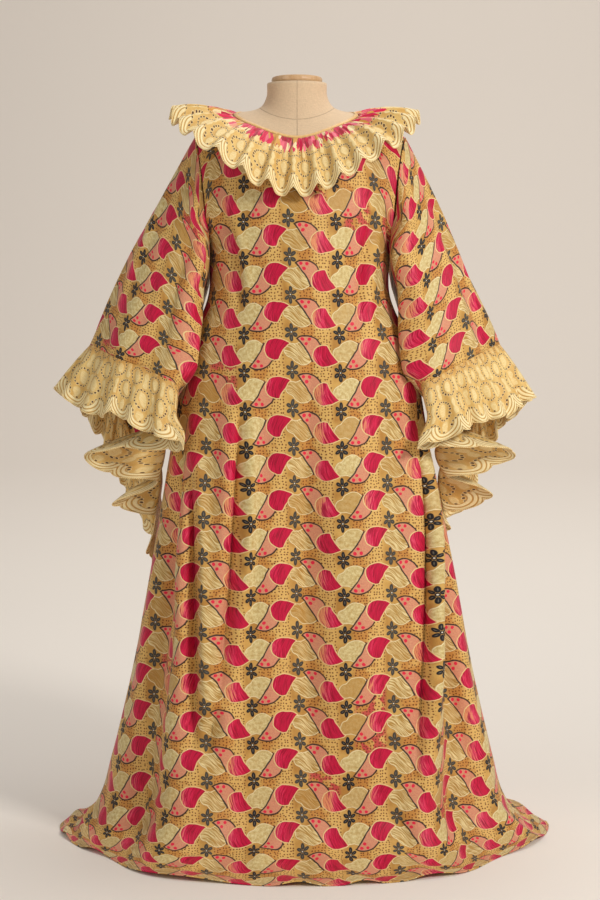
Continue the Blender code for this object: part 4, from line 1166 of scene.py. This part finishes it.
def embroidered_voile(name, scale, start, lean, colours):
    """Cotton voile, plain woven and machine embroidered.

    The fine matt weave shows as a soft grain, the satin stitches stand proud and shine a
    little, and the eyelets sink in. The print is placed by its scale, its start in
    millimetres and how far its columns lean.
    """
    material = bpy.data.materials.get(name)
    if material:
        return material
    material, tree, shader = new_material(name, 0.58, Specular_IOR_Level=0.25,
                                          Sheen_Weight=0.08, Sheen_Roughness=0.45)
    cloth = node(tree, "ShaderNodeUVMap", CLOTH_MAP)
    upright = node(tree, VECTOR, SCALE_ADD, _0=cloth, _1=(*scale, 0.0), _2=(*start, 0.0))
    at = node(tree, SPLIT, _0=upright).node
    x = node(tree, MATH, SCALE_ADD, _0=at.outputs["Y"], _1=lean, _2=at.outputs["X"])
    place = node(tree, JOIN, _0=x, _1=at.outputs["Y"])
    colour, height, raised = print_layers(tree, place, colours)
    # Threads 1.1 mm apart, drawn coarser than the real 0.3 mm so that they show.
    weave = node(tree, NOISE, FLAT, Vector=place, Scale=0.9, Detail=2.0)
    tone = node(tree, MATH, SCALE_ADD, _0=weave, _1=0.40, _2=0.78)
    if name.endswith("panel"):
        # The hem's row of stitches, 14 mm above the edge, and the shade of its turning.
        level = node(tree, SPLIT, _0=cloth).node.outputs["Y"]
        hem = node(tree, MATH, SUM, _0=level, _1=0.126)
        hem = node(tree, MATH, UNSIGNED, _0=hem)
        hem = node(tree, MATH, CLAMPED, _0=hem, _1=-700.0, _2=1.2)
        tone = node(tree, MATH, SCALE_ADD, _0=hem, _1=-0.35, _2=tone)
        height = node(tree, MATH, SCALE_ADD, _0=hem, _1=-1.5, _2=height)
    shade = node(tree, MIX, SHADED, _0=1.0, _6=colour, _7=tone)
    shine = node(tree, MATH, SCALE_ADD, _0=raised, _1=-0.16, _2=0.62)
    tree.links.new(shine, shader.inputs["Roughness"])
    fine = node(tree, MATH, SCALE_ADD, _0=weave, _1=0.35, _2=height)
    cover(tree, shader, shade, fine, 0.7, 0.0009)
    return material


def collar_band(tree, across, seam, colour, height, crimson):
    """Add the gathered band of voile by the collar's seam.

    Patches of the print about 11 mm wide and 18 mm high show between gathers painted with
    dark shade.
    """
    run = node(tree, MATH, TIMES, _0=seam, _1=900.0)
    run = node(tree, JOIN, _0=across, _1=run)
    tile = node(tree, MAPPING, _0=run, Scale=(0.095, 0.055, 1.0))
    tile = node(tree, CELLS, FLAT_CELLS, Vector=tile, Scale=1.0, Randomness=0.9).node
    pick = node(tree, "ShaderNodeSeparateColor", _0=tile.outputs["Color"])
    patches = node(tree, RAMP, _0=pick).node
    ramp = patches.color_ramp
    ramp.interpolation = "CONSTANT"
    ramp.elements[0].color = (*crimson, 1)
    ramp.elements[1].position = 0.86
    ramp.elements[1].color = (*linear("#D9A04A"), 1)
    for position, code in ((0.34, "#EE6F80"), (0.50, "#F3DFAA"), (0.64, "#B80E36"),
                           (0.76, "#E59A78")):
        ramp.elements.new(position).color = (*linear(code), 1)
    gather = node(tree, MAPPING, _0=run, Scale=(0.22, 0.012, 1.0))
    gather = node(tree, NOISE, FLAT, Vector=gather, Scale=1.0, Detail=2.0)
    # Painted shade: the gathers' folds are coloured dark brown.
    deep = node(tree, MATH, CLAMPED, _0=gather, _1=-7.0, _2=3.0)
    patches_with_gather_shade = node(tree, MIX, COLOUR, _0=deep, _6=patches.outputs["Color"],
                  _7=(*linear("#6A2F22"), 1))
    limit = node(tree, MATH, SCALE_ADD, _0=tile.outputs["Distance"], _1=0.012, _2=seam)
    limit = node(tree, MATH, SCALE_ADD, _0=gather, _1=-0.042, _2=limit)
    band = node(tree, MATH, CLAMPED, _0=limit, _1=-900.0, _2=24.0)
    colour = node(tree, MIX, COLOUR, _0=band, _6=colour, _7=patches_with_gather_shade)
    plain = node(tree, MATH, LESS_CLAMPED, _0=1.0, _1=band)
    height = node(tree, MATH, TIMES, _0=height, _1=plain)
    return colour, height


def eyelet_lace(name, pitch, colours):
    """Cotton eyelet lace, embroidered by machine, for scallops of the given pitch.

    A satin shell with pale corded lines fills each scallop. Above it, rings of eyelets stand
    in staggered rows round smooth satin leaves; the eyelets are painted dark brown, the shade
    seen through their holes. At the collar's seam the gathered voile shows as coloured
    patches between gathers painted with dark shade.
    """
    material, tree, shader = new_material(name, 0.5, Specular_IOR_Level=0.35,
                                          Sheen_Weight=0.10, Sheen_Roughness=0.4)
    lace = (*colours.lace, 1)
    pale = (*linear("#FBE9B4"), 1)
    cloth = node(tree, "ShaderNodeUVMap", CLOTH_MAP)
    flat = node(tree, VECTOR, TIMES, _0=cloth, _1=(pitch, 1000.0, 0.0))
    place = wander(tree, flat, 0.05, 3.5)
    at = node(tree, SPLIT, _0=place).node
    true_at = node(tree, SPLIT, _0=flat).node

    # Ground: lemon-gold with soft lighter and darker patches and slight upright streaks.
    patch = node(tree, MAPPING, _0=flat, Scale=(0.06, 0.02, 1.0))
    patch = node(tree, NOISE, FLAT, Vector=patch, Scale=1.0, Detail=3.0, Roughness=0.6)
    patch = node(tree, MATH, CLAMPED, _0=patch, _1=2.8, _2=-0.9)
    colour = node(tree, MIX, COLOUR, _0=patch, _6=(*linear("#D9AC5E"), 1), _7=lace)

    # Rings 34 mm across of eyelets 3.6 mm wide, in staggered rows 38 mm high.
    level = node(tree, MATH, SCALE_ADD, _0=at.outputs["Y"], _1=1 / 38, _2=-33 / 38)
    row = node(tree, MATH, WHOLE, _0=level)
    odd = node(tree, MATH, REMAINDER, _0=row, _1=2.0)
    y = node(tree, MATH, LESS, _0=level, _1=row)
    y = node(tree, MATH, SCALE_ADD, _0=y, _1=38.0, _2=-19.0)
    shifted = node(tree, MATH, SCALE_ADD, _0=odd, _1=pitch / 2, _2=at.outputs["X"])
    x = node(tree, MATH, WRAPPED, _0=shifted, _1=pitch / 2, _2=-pitch / 2)
    spot = node(tree, JOIN, _0=x, _1=y)
    radius = node(tree, VECTOR, LENGTH, _0=spot)
    angle = node(tree, MATH, {"operation": "ARCTAN2"}, _0=y, _1=x)
    step = node(tree, MATH, TIMES, _0=angle, _1=17 / math.tau)
    near = node(tree, MATH, {"operation": "ROUND"}, _0=step)
    step = node(tree, MATH, LESS, _0=step, _1=near)
    step = node(tree, MATH, TIMES, _0=step, _1=6.2)
    out = node(tree, MATH, LESS, _0=radius, _1=16.8)
    ring = node(tree, JOIN, _0=step, _1=out)
    ring = node(tree, VECTOR, LENGTH, _0=ring)
    shaded_holes = node(tree, MATH, CLAMPED, _0=ring, _1=-1.5, _2=3.2)
    rim = node(tree, MATH, CLAMPED, _0=ring, _1=-1.2, _2=3.4)

    # Smooth satin leaves in and between the rings, their stitches running one way.
    leaf = node(tree, MAPPING, PLACED, _0=spot, Location=(1.5, 0.0, 0.0),
                Rotation=(0.0, 0.0, 0.35), Scale=(8.5, 12.5, 1.0))
    leaf = node(tree, VECTOR, LENGTH, _0=leaf)
    satin = node(tree, MATH, CLAMPED, _0=leaf, _1=-4.0, _2=4.4)
    side_leaf = node(tree, VECTOR, UNSIGNED, _0=spot)
    side_leaf = node(tree, MAPPING, PLACED, _0=side_leaf, Location=(pitch / 2, 7.0, 0.0),
                     Rotation=(0.0, 0.0, 0.2), Scale=(6.0, 10.0, 1.0))
    side_leaf = node(tree, VECTOR, LENGTH, _0=side_leaf)
    side_leaf = node(tree, MATH, CLAMPED, _0=side_leaf, _1=-3.5, _2=3.7)
    satin = node(tree, MATH, MOST, _0=satin, _1=side_leaf)
    thread = node(tree, MAPPING, _0=spot, Rotation=(0.0, 0.0, 0.5), Scale=(0.10, 0.9, 1.0))
    thread = node(tree, NOISE, FLAT, Vector=thread, Scale=1.0, Detail=2.0)
    satin_colour = node(tree, MIX, COLOUR, _0=thread, _6=(*linear("#E3BE6E"), 1), _7=pale)
    colour = node(tree, MIX, COLOUR, _0=satin, _6=colour, _7=satin_colour)
    colour = node(tree, MIX, COLOUR, _0=rim, _6=colour, _7=pale)

    # Shell in each scallop: arcs about its middle, 27 mm above the edge, and one eyelet.
    low_x = node(tree, MATH, WRAPPED, _0=true_at.outputs["X"], _1=pitch / 2, _2=-pitch / 2)
    low = node(tree, JOIN, _0=low_x, _1=true_at.outputs["Y"])
    arc = node(tree, MAPPING, PLACED, _0=low, Location=(0.0, 27.0, 0.0),
               Scale=(pitch / 54, 1.0, 1.0))
    arc = node(tree, VECTOR, LENGTH, _0=arc)
    shell = node(tree, MATH, CLAMPED, _0=true_at.outputs["Y"], _1=-0.4, _2=11.5)
    cords = node(tree, MATH, WRAPPED, _0=arc, _1=3.1, _2=-3.1)
    cords = node(tree, MATH, UNSIGNED, _0=cords)
    cords = node(tree, MATH, CLAMPED, _0=cords, _1=-0.9, _2=2.4)
    outer = node(tree, MATH, CLAMPED, _0=arc, _1=0.6, _2=-8.8)
    outer = node(tree, MATH, TIMES, _0=outer, _1=shell)
    corded = node(tree, MIX, COLOUR, _0=cords, _6=(*linear("#CE9E4F"), 1), _7=pale)
    colour = node(tree, MIX, COLOUR, _0=outer, _6=colour, _7=corded)
    pearl = node(tree, VECTOR, APART, _0=low, _1=(2.0, 13.0, 0.0))
    pearl = node(tree, MATH, CLAMPED, _0=pearl, _1=-1.5, _2=2.8)
    above = node(tree, MATH, LESS_CLAMPED, _0=1.0, _1=outer)
    shaded_holes = node(tree, MATH, MOST, _0=shaded_holes, _1=pearl)
    shaded_holes = node(tree, MATH, TIMES, _0=shaded_holes, _1=above)
    # Painted shade: the eyelets are coloured dark brown, the shade seen through their holes.
    colour = node(tree, MIX, COLOUR, _0=shaded_holes, _6=colour, _7=(*linear("#5E3714"), 1))
    raised = node(tree, MATH, TIMES, _0=outer, _1=cords)
    satin = node(tree, MATH, TIMES, _0=satin, _1=above)
    raised = node(tree, MATH, MOST, _0=raised, _1=satin)
    height = node(tree, MATH, LESS, _0=raised, _1=shaded_holes)

    seam = node(tree, "ShaderNodeAttribute", {"attribute_name": "from_seam"}).node.outputs["Fac"]
    if name.endswith("collar"):
        colour, height = collar_band(tree, at.outputs["X"], seam, colour, height,
                                     colours.crimson)
    else:
        # Painted shade darkens the lace beside the seam, where it is gathered.
        gather = node(tree, MATH, CLAMPED, _0=seam, _1=-30.0, _2=0.8)
        colour = node(tree, MIX, SHADED, _0=gather, _6=colour, _7=(*linear("#E2C08A"), 1))

    # Net of threads 1.2 mm apart, drawn coarser than the real one so that it shows.
    net = node(tree, NOISE, FLAT, Vector=flat, Scale=0.8, Detail=2.0)
    tone = node(tree, MATH, SCALE_ADD, _0=net, _1=0.36, _2=0.82)
    shade = node(tree, MIX, SHADED, _0=1.0, _6=colour, _7=tone)
    fine = node(tree, MATH, SCALE_ADD, _0=net, _1=0.35, _2=height)
    cover(tree, shader, shade, fine, 0.7, 0.0012)
    return material


def corded_edge():
    """Pale twisted cotton cord round the lace's edge: painted light and shade on its plies."""
    material = bpy.data.materials.get("twisted_cotton_cord")
    if material:
        return material
    material, tree, shader = new_material("twisted_cotton_cord", 0.5, Sheen_Weight=0.2)
    cloth = node(tree, "ShaderNodeUVMap", CLOTH_MAP)
    slant = node(tree, MAPPING, _0=cloth, Rotation=(0.0, 0.0, 0.9), Scale=(1.0, 1.0, 1.0))
    # Painted light and shade: slanting bands, bright on each ply and dark between them.
    plies = node(tree, "ShaderNodeTexWave", Vector=slant, Scale=120.0)
    colour = node(tree, MIX, COLOUR, _0=plies, _6=(*linear("#DDB96E"), 1),
                  _7=(*linear("#FBE7B2"), 1))
    cover(tree, shader, colour, plies, 0.5, 0.0004)
    return material


def satin_binding():
    """Cotton satin, cut on the bias, folded and top-stitched: long soft shine, fine slubs."""
    material, tree, shader = new_material("bias_cotton_satin", 0.34, Sheen_Weight=0.15,
                                          Specular_IOR_Level=0.5)
    cloth = node(tree, "ShaderNodeUVMap", CLOTH_MAP)
    along = node(tree, MAPPING, _0=cloth, Scale=(240.0, 900.0, 1.0))
    slub = node(tree, NOISE, FLAT, Vector=along, Scale=1.0, Detail=2.0)
    pull = node(tree, MAPPING, _0=cloth, Rotation=(0.0, 0.0, 0.5), Scale=(90.0, 60.0, 1.0))
    pull = node(tree, NOISE, FLAT, Vector=pull, Scale=1.0, Detail=1.0)
    colour = node(tree, MIX, COLOUR, _0=slub, _6=(*linear("#C8923F"), 1),
                  _7=(*linear("#F0C985"), 1))
    height = node(tree, MATH, SCALE_ADD, _0=pull, _1=4.0, _2=slub)
    cover(tree, shader, colour, height, 0.5, 0.0004)
    return material


def stretched_linen(colours):
    """Linen, plain woven and stretched over the form: slubby threads and sewn seams.

    The seams run round the base of the neck and down the front, back and both sides.
    """
    material, tree, shader = new_material("stretched_natural_linen", 0.8, Sheen_Weight=0.1,
                                          Specular_IOR_Level=0.25)
    map_place = node(tree, "ShaderNodeUVMap", CLOTH_MAP)
    at = node(tree, SPLIT, _0=map_place).node
    place = node(tree, "ShaderNodeTexCoord").node.outputs["Object"]
    # Threads about 1.4 mm apart, drawn coarser than the real 0.7 mm so that they show.
    threads = 0.0
    for scale in ((160.0, 160.0, 900.0), (900.0, 900.0, 160.0)):
        run = node(tree, MAPPING, _0=place, Scale=scale)
        run = node(tree, NOISE, Vector=run, Scale=0.8, Detail=1.0)
        threads = node(tree, MATH, SUM, _0=threads, _1=run)
    tone = node(tree, MATH, SCALE_ADD, _0=threads, _1=0.22, _2=0.78)
    quarter = node(tree, MATH, WRAPPED, _0=at.outputs["X"], _1=0.125, _2=-0.125)
    quarter = node(tree, MATH, UNSIGNED, _0=quarter)
    quarter = node(tree, MATH, TIMES, _0=quarter, _1=380.0)
    base = node(tree, MATH, LESS, _0=at.outputs["Y"], _1=2.0)
    base = node(tree, MATH, UNSIGNED, _0=base)
    base = node(tree, MATH, TIMES, _0=base, _1=26.0)
    seam = node(tree, MATH, LEAST, _0=quarter, _1=base)
    seam = node(tree, MATH, LESS_CLAMPED, _0=1.0, _1=seam)
    dark = node(tree, MATH, SCALE_ADD, _0=seam, _1=-0.30, _2=tone)
    shade = node(tree, MIX, SHADED, _0=1.0, _6=(*colours.linen, 1), _7=dark)
    height = node(tree, MATH, SCALE_ADD, _0=seam, _1=-2.5, _2=threads)
    cover(tree, shader, shade, height, 0.45, 0.0008)
    return material


def varnished_beech():
    """Beech, turned and varnished: short flecks and soft rings under a clear coat."""
    material, tree, shader = new_material("varnished_turned_beech", 0.4, Coat_Weight=0.6,
                                          Coat_Roughness=0.15)
    place = node(tree, "ShaderNodeTexCoord").node.outputs["Object"]
    grain = node(tree, MAPPING, _0=place, Scale=(60.0, 240.0, 60.0))
    grain = node(tree, NOISE, Vector=grain, Scale=1.0, Detail=3.0)
    colour = node(tree, MIX, COLOUR, _0=grain, _6=(*linear("#B98A57"), 1),
                  _7=(*linear("#E2BF93"), 1))
    tree.links.new(colour, shader.inputs["Base Color"])
    return material


def painted_steel():
    """Steel tube and plate, powder coated: off-white with a fine even orange-peel."""
    material, tree, shader = new_material("powder_coated_steel", 0.45)
    place = node(tree, "ShaderNodeTexCoord").node.outputs["Object"]
    peel = node(tree, NOISE, Vector=place, Scale=400.0, Detail=1.0)
    colour = node(tree, MIX, COLOUR, _0=peel, _6=(*linear("#D6D2CA"), 1),
                  _7=(*linear("#E4E0D8"), 1))
    cover(tree, shader, colour, peel, 0.2, 0.0004)
    return material


def pale_paper():
    """Seamless backdrop paper, warm off-white, with painted shade a little greyer up the wall."""
    material, tree, shader = new_material("pale_backdrop_paper", 0.9,
                                          Specular_IOR_Level=0.1)
    place = node(tree, "ShaderNodeTexCoord").node.outputs["Object"]
    height = node(tree, SPLIT, _0=place).node.outputs["Z"]
    # Painted shade: the paper is made greyer up the wall than on the floor.
    wall = node(tree, MATH, TIMES_CLAMPED, _0=height, _1=2.5)
    colour = node(tree, MIX, COLOUR, _0=wall, _6=(*linear("#F4EDE4"), 1),
                  _7=(*linear("#E4DBD1"), 1))
    tree.links.new(colour, shader.inputs["Base Color"])
    return material


def finish_node(name, material):
    """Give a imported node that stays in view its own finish."""
    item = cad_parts[name]
    item.data.materials.clear()
    item.data.materials.append(material)


def edge_cord(name, grid, radius):
    """Make the round cord along a lace strip's scalloped edge."""
    outer = grid[-1] + unit(grid[-1] - grid[-2]) * radius * 0.4
    item = sheet_object(name, cord_surface(outer, radius, 6), True, False, corded_edge(),
                        weld=True)
    settle(item, None)
    return item


def add_light(name, place, target, size, power, colour):
    """Add a soft rectangular light that faces a point."""
    light = bpy.data.lights.new(name, "AREA")
    light.shape = "RECTANGLE"
    light.size, light.size_y = size
    light.energy = power
    light.color = colour
    item = bpy.data.objects.new(name, light)
    item.location = place
    item.rotation_euler = (Vector(target) - Vector(place)).to_track_quat("-Z", "Y").to_euler()
    bpy.context.scene.collection.objects.link(item)


# The stage in metres: where the floor begins to rise, the radius of its sweep, the wall's
# place, half the stage's width and its drop below the hem.
SWEEP_START = 2.8
SWEEP_RADIUS = 4.7
WALL_PLACE = 7.5
STAGE_HALF = 12.0
STAGE_DROP = 0.0005

# The lights: name, place, what they face, their two sizes, watts and colour.
LIGHTS = (
    ("key", (2.6, -3.0, 2.7), (0, 0, 0.9), (0.8, 0.8), 106, "#FFFBF6"),
    ("fill", (-2.9, -2.4, 1.9), (0, 0, 0.8), (2.0, 2.0), 15, "#FFFDFA"),
    ("top", (0.4, 0.6, 3.6), (0, 0.2, 0.9), (2.4, 1.6), 34, "#FFFFFF"),
    ("wall", (1.2, 1.8, 4.6), (0.6, 7.4, 2.9), (5.0, 1.2), 150, "#FFFCF8"),
)
WORLD_STRENGTH = 0.38

# The camera: its place before the shift and its tilt below level in degrees.
CAMERA_PLACE = (0.0, -3.6, 1.012)
CAMERA_TILT = 3.70


def build_stage(lens):
    """Make a floor that sweeps up into a wall, the lights, the camera and the pale world."""
    turn = np.radians(np.linspace(0, 90, 13))
    depth = np.concatenate([(-7.5, -3.0, 0.0, 1.5), SWEEP_START + SWEEP_RADIUS * np.sin(turn),
                            (WALL_PLACE,)])
    height = np.concatenate([(0.0, 0.0, 0.0, 0.0), SWEEP_RADIUS - SWEEP_RADIUS * np.cos(turn),
                             (6.5,)]) - STAGE_DROP
    width = np.linspace(-STAGE_HALF, STAGE_HALF, 13)
    across, back = np.meshgrid(width, depth)
    grid = np.stack([across, back, height[:, None] + 0 * back], -1)
    grid = grid - SHIFT * np.array([1.0, 1.0, 0.0])
    surface = (grid, grid[..., 0], grid[..., 1])
    floor = sheet_object("studio_sweep", surface, False, True, pale_paper())
    smooth = floor.modifiers.new("Smooth", "SUBSURF")
    smooth.levels = 2
    smooth.render_levels = 2

    world = bpy.data.worlds.new("pale_studio")
    bpy.context.scene.world = world
    world.use_nodes = True
    sky = world.node_tree.nodes["Background"]
    sky.inputs["Color"].default_value = (*linear("#F4F1EE"), 1)
    sky.inputs["Strength"].default_value = WORLD_STRENGTH
    for name, place, target, size, power, code in LIGHTS:
        add_light(name, place, target, size, power, linear(code))
    bpy.context.scene.view_settings.view_transform = "Standard"

    camera = bpy.data.cameras.new("photo_view")
    camera.lens = lens
    camera.sensor_width = 36
    camera.clip_end = 60
    item = bpy.data.objects.new("photo_view", camera)
    item.location = Vector(CAMERA_PLACE) + Vector(SHIFT)
    item.rotation_euler = (math.radians(90 - CAMERA_TILT), 0, 0)
    bpy.context.scene.collection.objects.link(item)
    bpy.context.scene.camera = item


class DressSizes(PropertyGroup):
    """Sizes that a user would change."""

    cloth_wall: FloatProperty(name="Cloth Wall", description="Thickness of the voile's wall",
                              default=0.0014, min=0.0005, max=0.003, unit="LENGTH")
    lace_wall: FloatProperty(name="Lace Wall", description="Thickness of the lace's wall",
                             default=0.0012, min=0.0005, max=0.003, unit="LENGTH")
    cord_radius: FloatProperty(name="Edge Cord", description="Radius of the lace's edge cord",
                               default=0.0011, min=0.0004, max=0.003, unit="LENGTH")
    camera_lens: FloatProperty(name="Camera Lens", description="Focal length of the camera",
                               default=72.5, min=20.0, max=200.0)


class DressColours(PropertyGroup):
    """Colours that a user would change."""

    ground: FloatVectorProperty(name="Voile Ground", description="Gold ground of the voile",
                                default=linear("#D6A95C"), subtype="COLOR")
    crimson: FloatVectorProperty(name="Crimson", description="Embroidered crimson drops",
                                 default=linear("#DB1E4E"), subtype="COLOR")
    lace: FloatVectorProperty(name="Lace", description="Gold of the lace",
                              default=linear("#E9C67C"), subtype="COLOR")
    linen: FloatVectorProperty(name="Form Linen", description="Linen of the dress form",
                               default=linear("#D9BE9C"), subtype="COLOR")


class DRESS_OT_panels(Operator):
    """Make the front and the back panel of embroidered voile"""

    bl_idname = "dress.panels"
    bl_label = "Front and Back Panels"

    def execute(self, context):
        sizes = context.scene.dress_sizes
        voile = embroidered_voile("embroidered_voile_panel", (1000.0, 1000.0),
                                  (111.7, -1189.5), 0.021, context.scene.dress_colours)
        for panel, columns, rows in (("front", 180, 226), ("back", 150, 184)):
            item = sheet_object(panel + "_panel_cloth", panel_surface(panel, columns, rows), False,
                                panel == "back", voile)
            give_wall(item, sizes.cloth_wall, 1)
            settle(item, panel + "_panel")
        return {"FINISHED"}


class DRESS_OT_sleeves(Operator):
    """Make the two wide sleeves of embroidered voile"""

    bl_idname = "dress.sleeves"
    bl_label = "Sleeves"

    def execute(self, context):
        sizes = context.scene.dress_sizes
        for side, word in ((-1, "left"), (1, "right")):
            voile = embroidered_voile("embroidered_voile_sleeve_" + word,
                                      (-side * 1050.0, 1182.0), (45.0 - side * 12.0, 244.8),
                                      -side * 0.192, context.scene.dress_colours)
            item = sheet_object("sleeve_" + word + "_cloth", sleeve_surface(side, 168, 100), True,
                                side > 0, voile)
            give_wall(item, sizes.cloth_wall, -1)
            settle(item, "sleeve_" + word)
        return {"FINISHED"}


class DRESS_OT_collar(Operator):
    """Make the gathered lace collar and the cords of its scalloped edge"""

    bl_idname = "dress.collar"
    bl_label = "Collar Ruffle"

    def execute(self, context):
        sizes = context.scene.dress_sizes
        lace = eyelet_lace("schiffli_lace_collar", 54.0, context.scene.dress_colours)
        surface = collar_surface(34, 30)
        item = sheet_object("collar_ruffle_lace", surface, True, False, lace)
        mark_seam(item, surface)
        give_wall(item, sizes.lace_wall, -1)
        settle(item, "collar_ruffle")
        cord = edge_cord("collar_edge_cord", surface[0], sizes.cord_radius)
        return {"FINISHED"}


class DRESS_OT_cuffs(Operator):
    """Make the two gathered lace cuffs and the cords of their scalloped edges"""

    bl_idname = "dress.cuffs"
    bl_label = "Cuff Ruffles"

    def execute(self, context):
        sizes = context.scene.dress_sizes
        lace = eyelet_lace("schiffli_lace_cuff", 54.0, context.scene.dress_colours)
        for side, word in ((-1, "left"), (1, "right")):
            surface = cuff_surface(side, 24, 28)
            item = sheet_object("cuff_ruffle_" + word + "_lace", surface, True, side > 0, lace)
            mark_seam(item, surface)
            give_wall(item, sizes.lace_wall, -1)
            settle(item, "cuff_ruffle_" + word)
            cord = edge_cord("cuff_edge_cord_" + word, surface[0], sizes.cord_radius)
        return {"FINISHED"}


class DRESS_OT_binding(Operator):
    """Make the satin binding of the neckline"""

    bl_idname = "dress.binding"
    bl_label = "Neck Binding"

    def execute(self, context):
        item = sheet_object("neck_binding_satin", binding_surface(360, 14), True, True,
                            satin_binding(), weld=True)
        settle(item, "neck_binding")
        return {"FINISHED"}


class DRESS_OT_form(Operator):
    """Make the linen torso of the dress form and finish its cap, pole and base"""

    bl_idname = "dress.form"
    bl_label = "Dress Form"

    def execute(self, context):
        item = sheet_object("form_torso_linen", form_surface(144, 92), True, False,
                            stretched_linen(context.scene.dress_colours), capped=True)
        settle(item, "form_torso")
        finish_node("form_cap", varnished_beech())
        steel = painted_steel()
        finish_node("form_pole", steel)
        finish_node("form_base", steel)
        return {"FINISHED"}


class DRESS_OT_stage(Operator):
    """Make the pale floor and wall, the soft lights and the camera"""

    bl_idname = "dress.stage"
    bl_label = "Stage, Lights and Camera"

    def execute(self, context):
        build_stage(context.scene.dress_sizes.camera_lens)
        return {"FINISHED"}


class VIEW3D_PT_dress(Panel):
    """List the dress's operators, sizes and colours"""

    bl_label = "Embroidered Dress"
    bl_space_type = "VIEW_3D"
    bl_region_type = "UI"
    bl_category = "Dress"

    def draw(self, context):
        for operator in OPERATORS:
            self.layout.operator(operator.bl_idname)
        for group in (context.scene.dress_sizes, context.scene.dress_colours):
            for name in group.bl_rna.properties.keys():
                if name not in ("rna_type", "name"):
                    self.layout.prop(group, name)


OPERATORS = (DRESS_OT_form, DRESS_OT_panels, DRESS_OT_sleeves, DRESS_OT_collar, DRESS_OT_cuffs,
             DRESS_OT_binding, DRESS_OT_stage)
CLASSES = (DressSizes, DressColours, *OPERATORS, VIEW3D_PT_dress)


def register():
    for item in CLASSES:
        bpy.utils.register_class(item)
    bpy.types.Scene.dress_sizes = PointerProperty(type=DressSizes)
    bpy.types.Scene.dress_colours = PointerProperty(type=DressColours)


def unregister():
    del bpy.types.Scene.dress_colours
    del bpy.types.Scene.dress_sizes
    for item in reversed(CLASSES):
        bpy.utils.unregister_class(item)


def main():
    register()
    bpy.ops.dress.form()
    bpy.ops.dress.panels()
    bpy.ops.dress.sleeves()
    bpy.ops.dress.collar()
    bpy.ops.dress.cuffs()
    bpy.ops.dress.binding()
    bpy.ops.dress.stage()


if __name__ == "__main__":
    main()
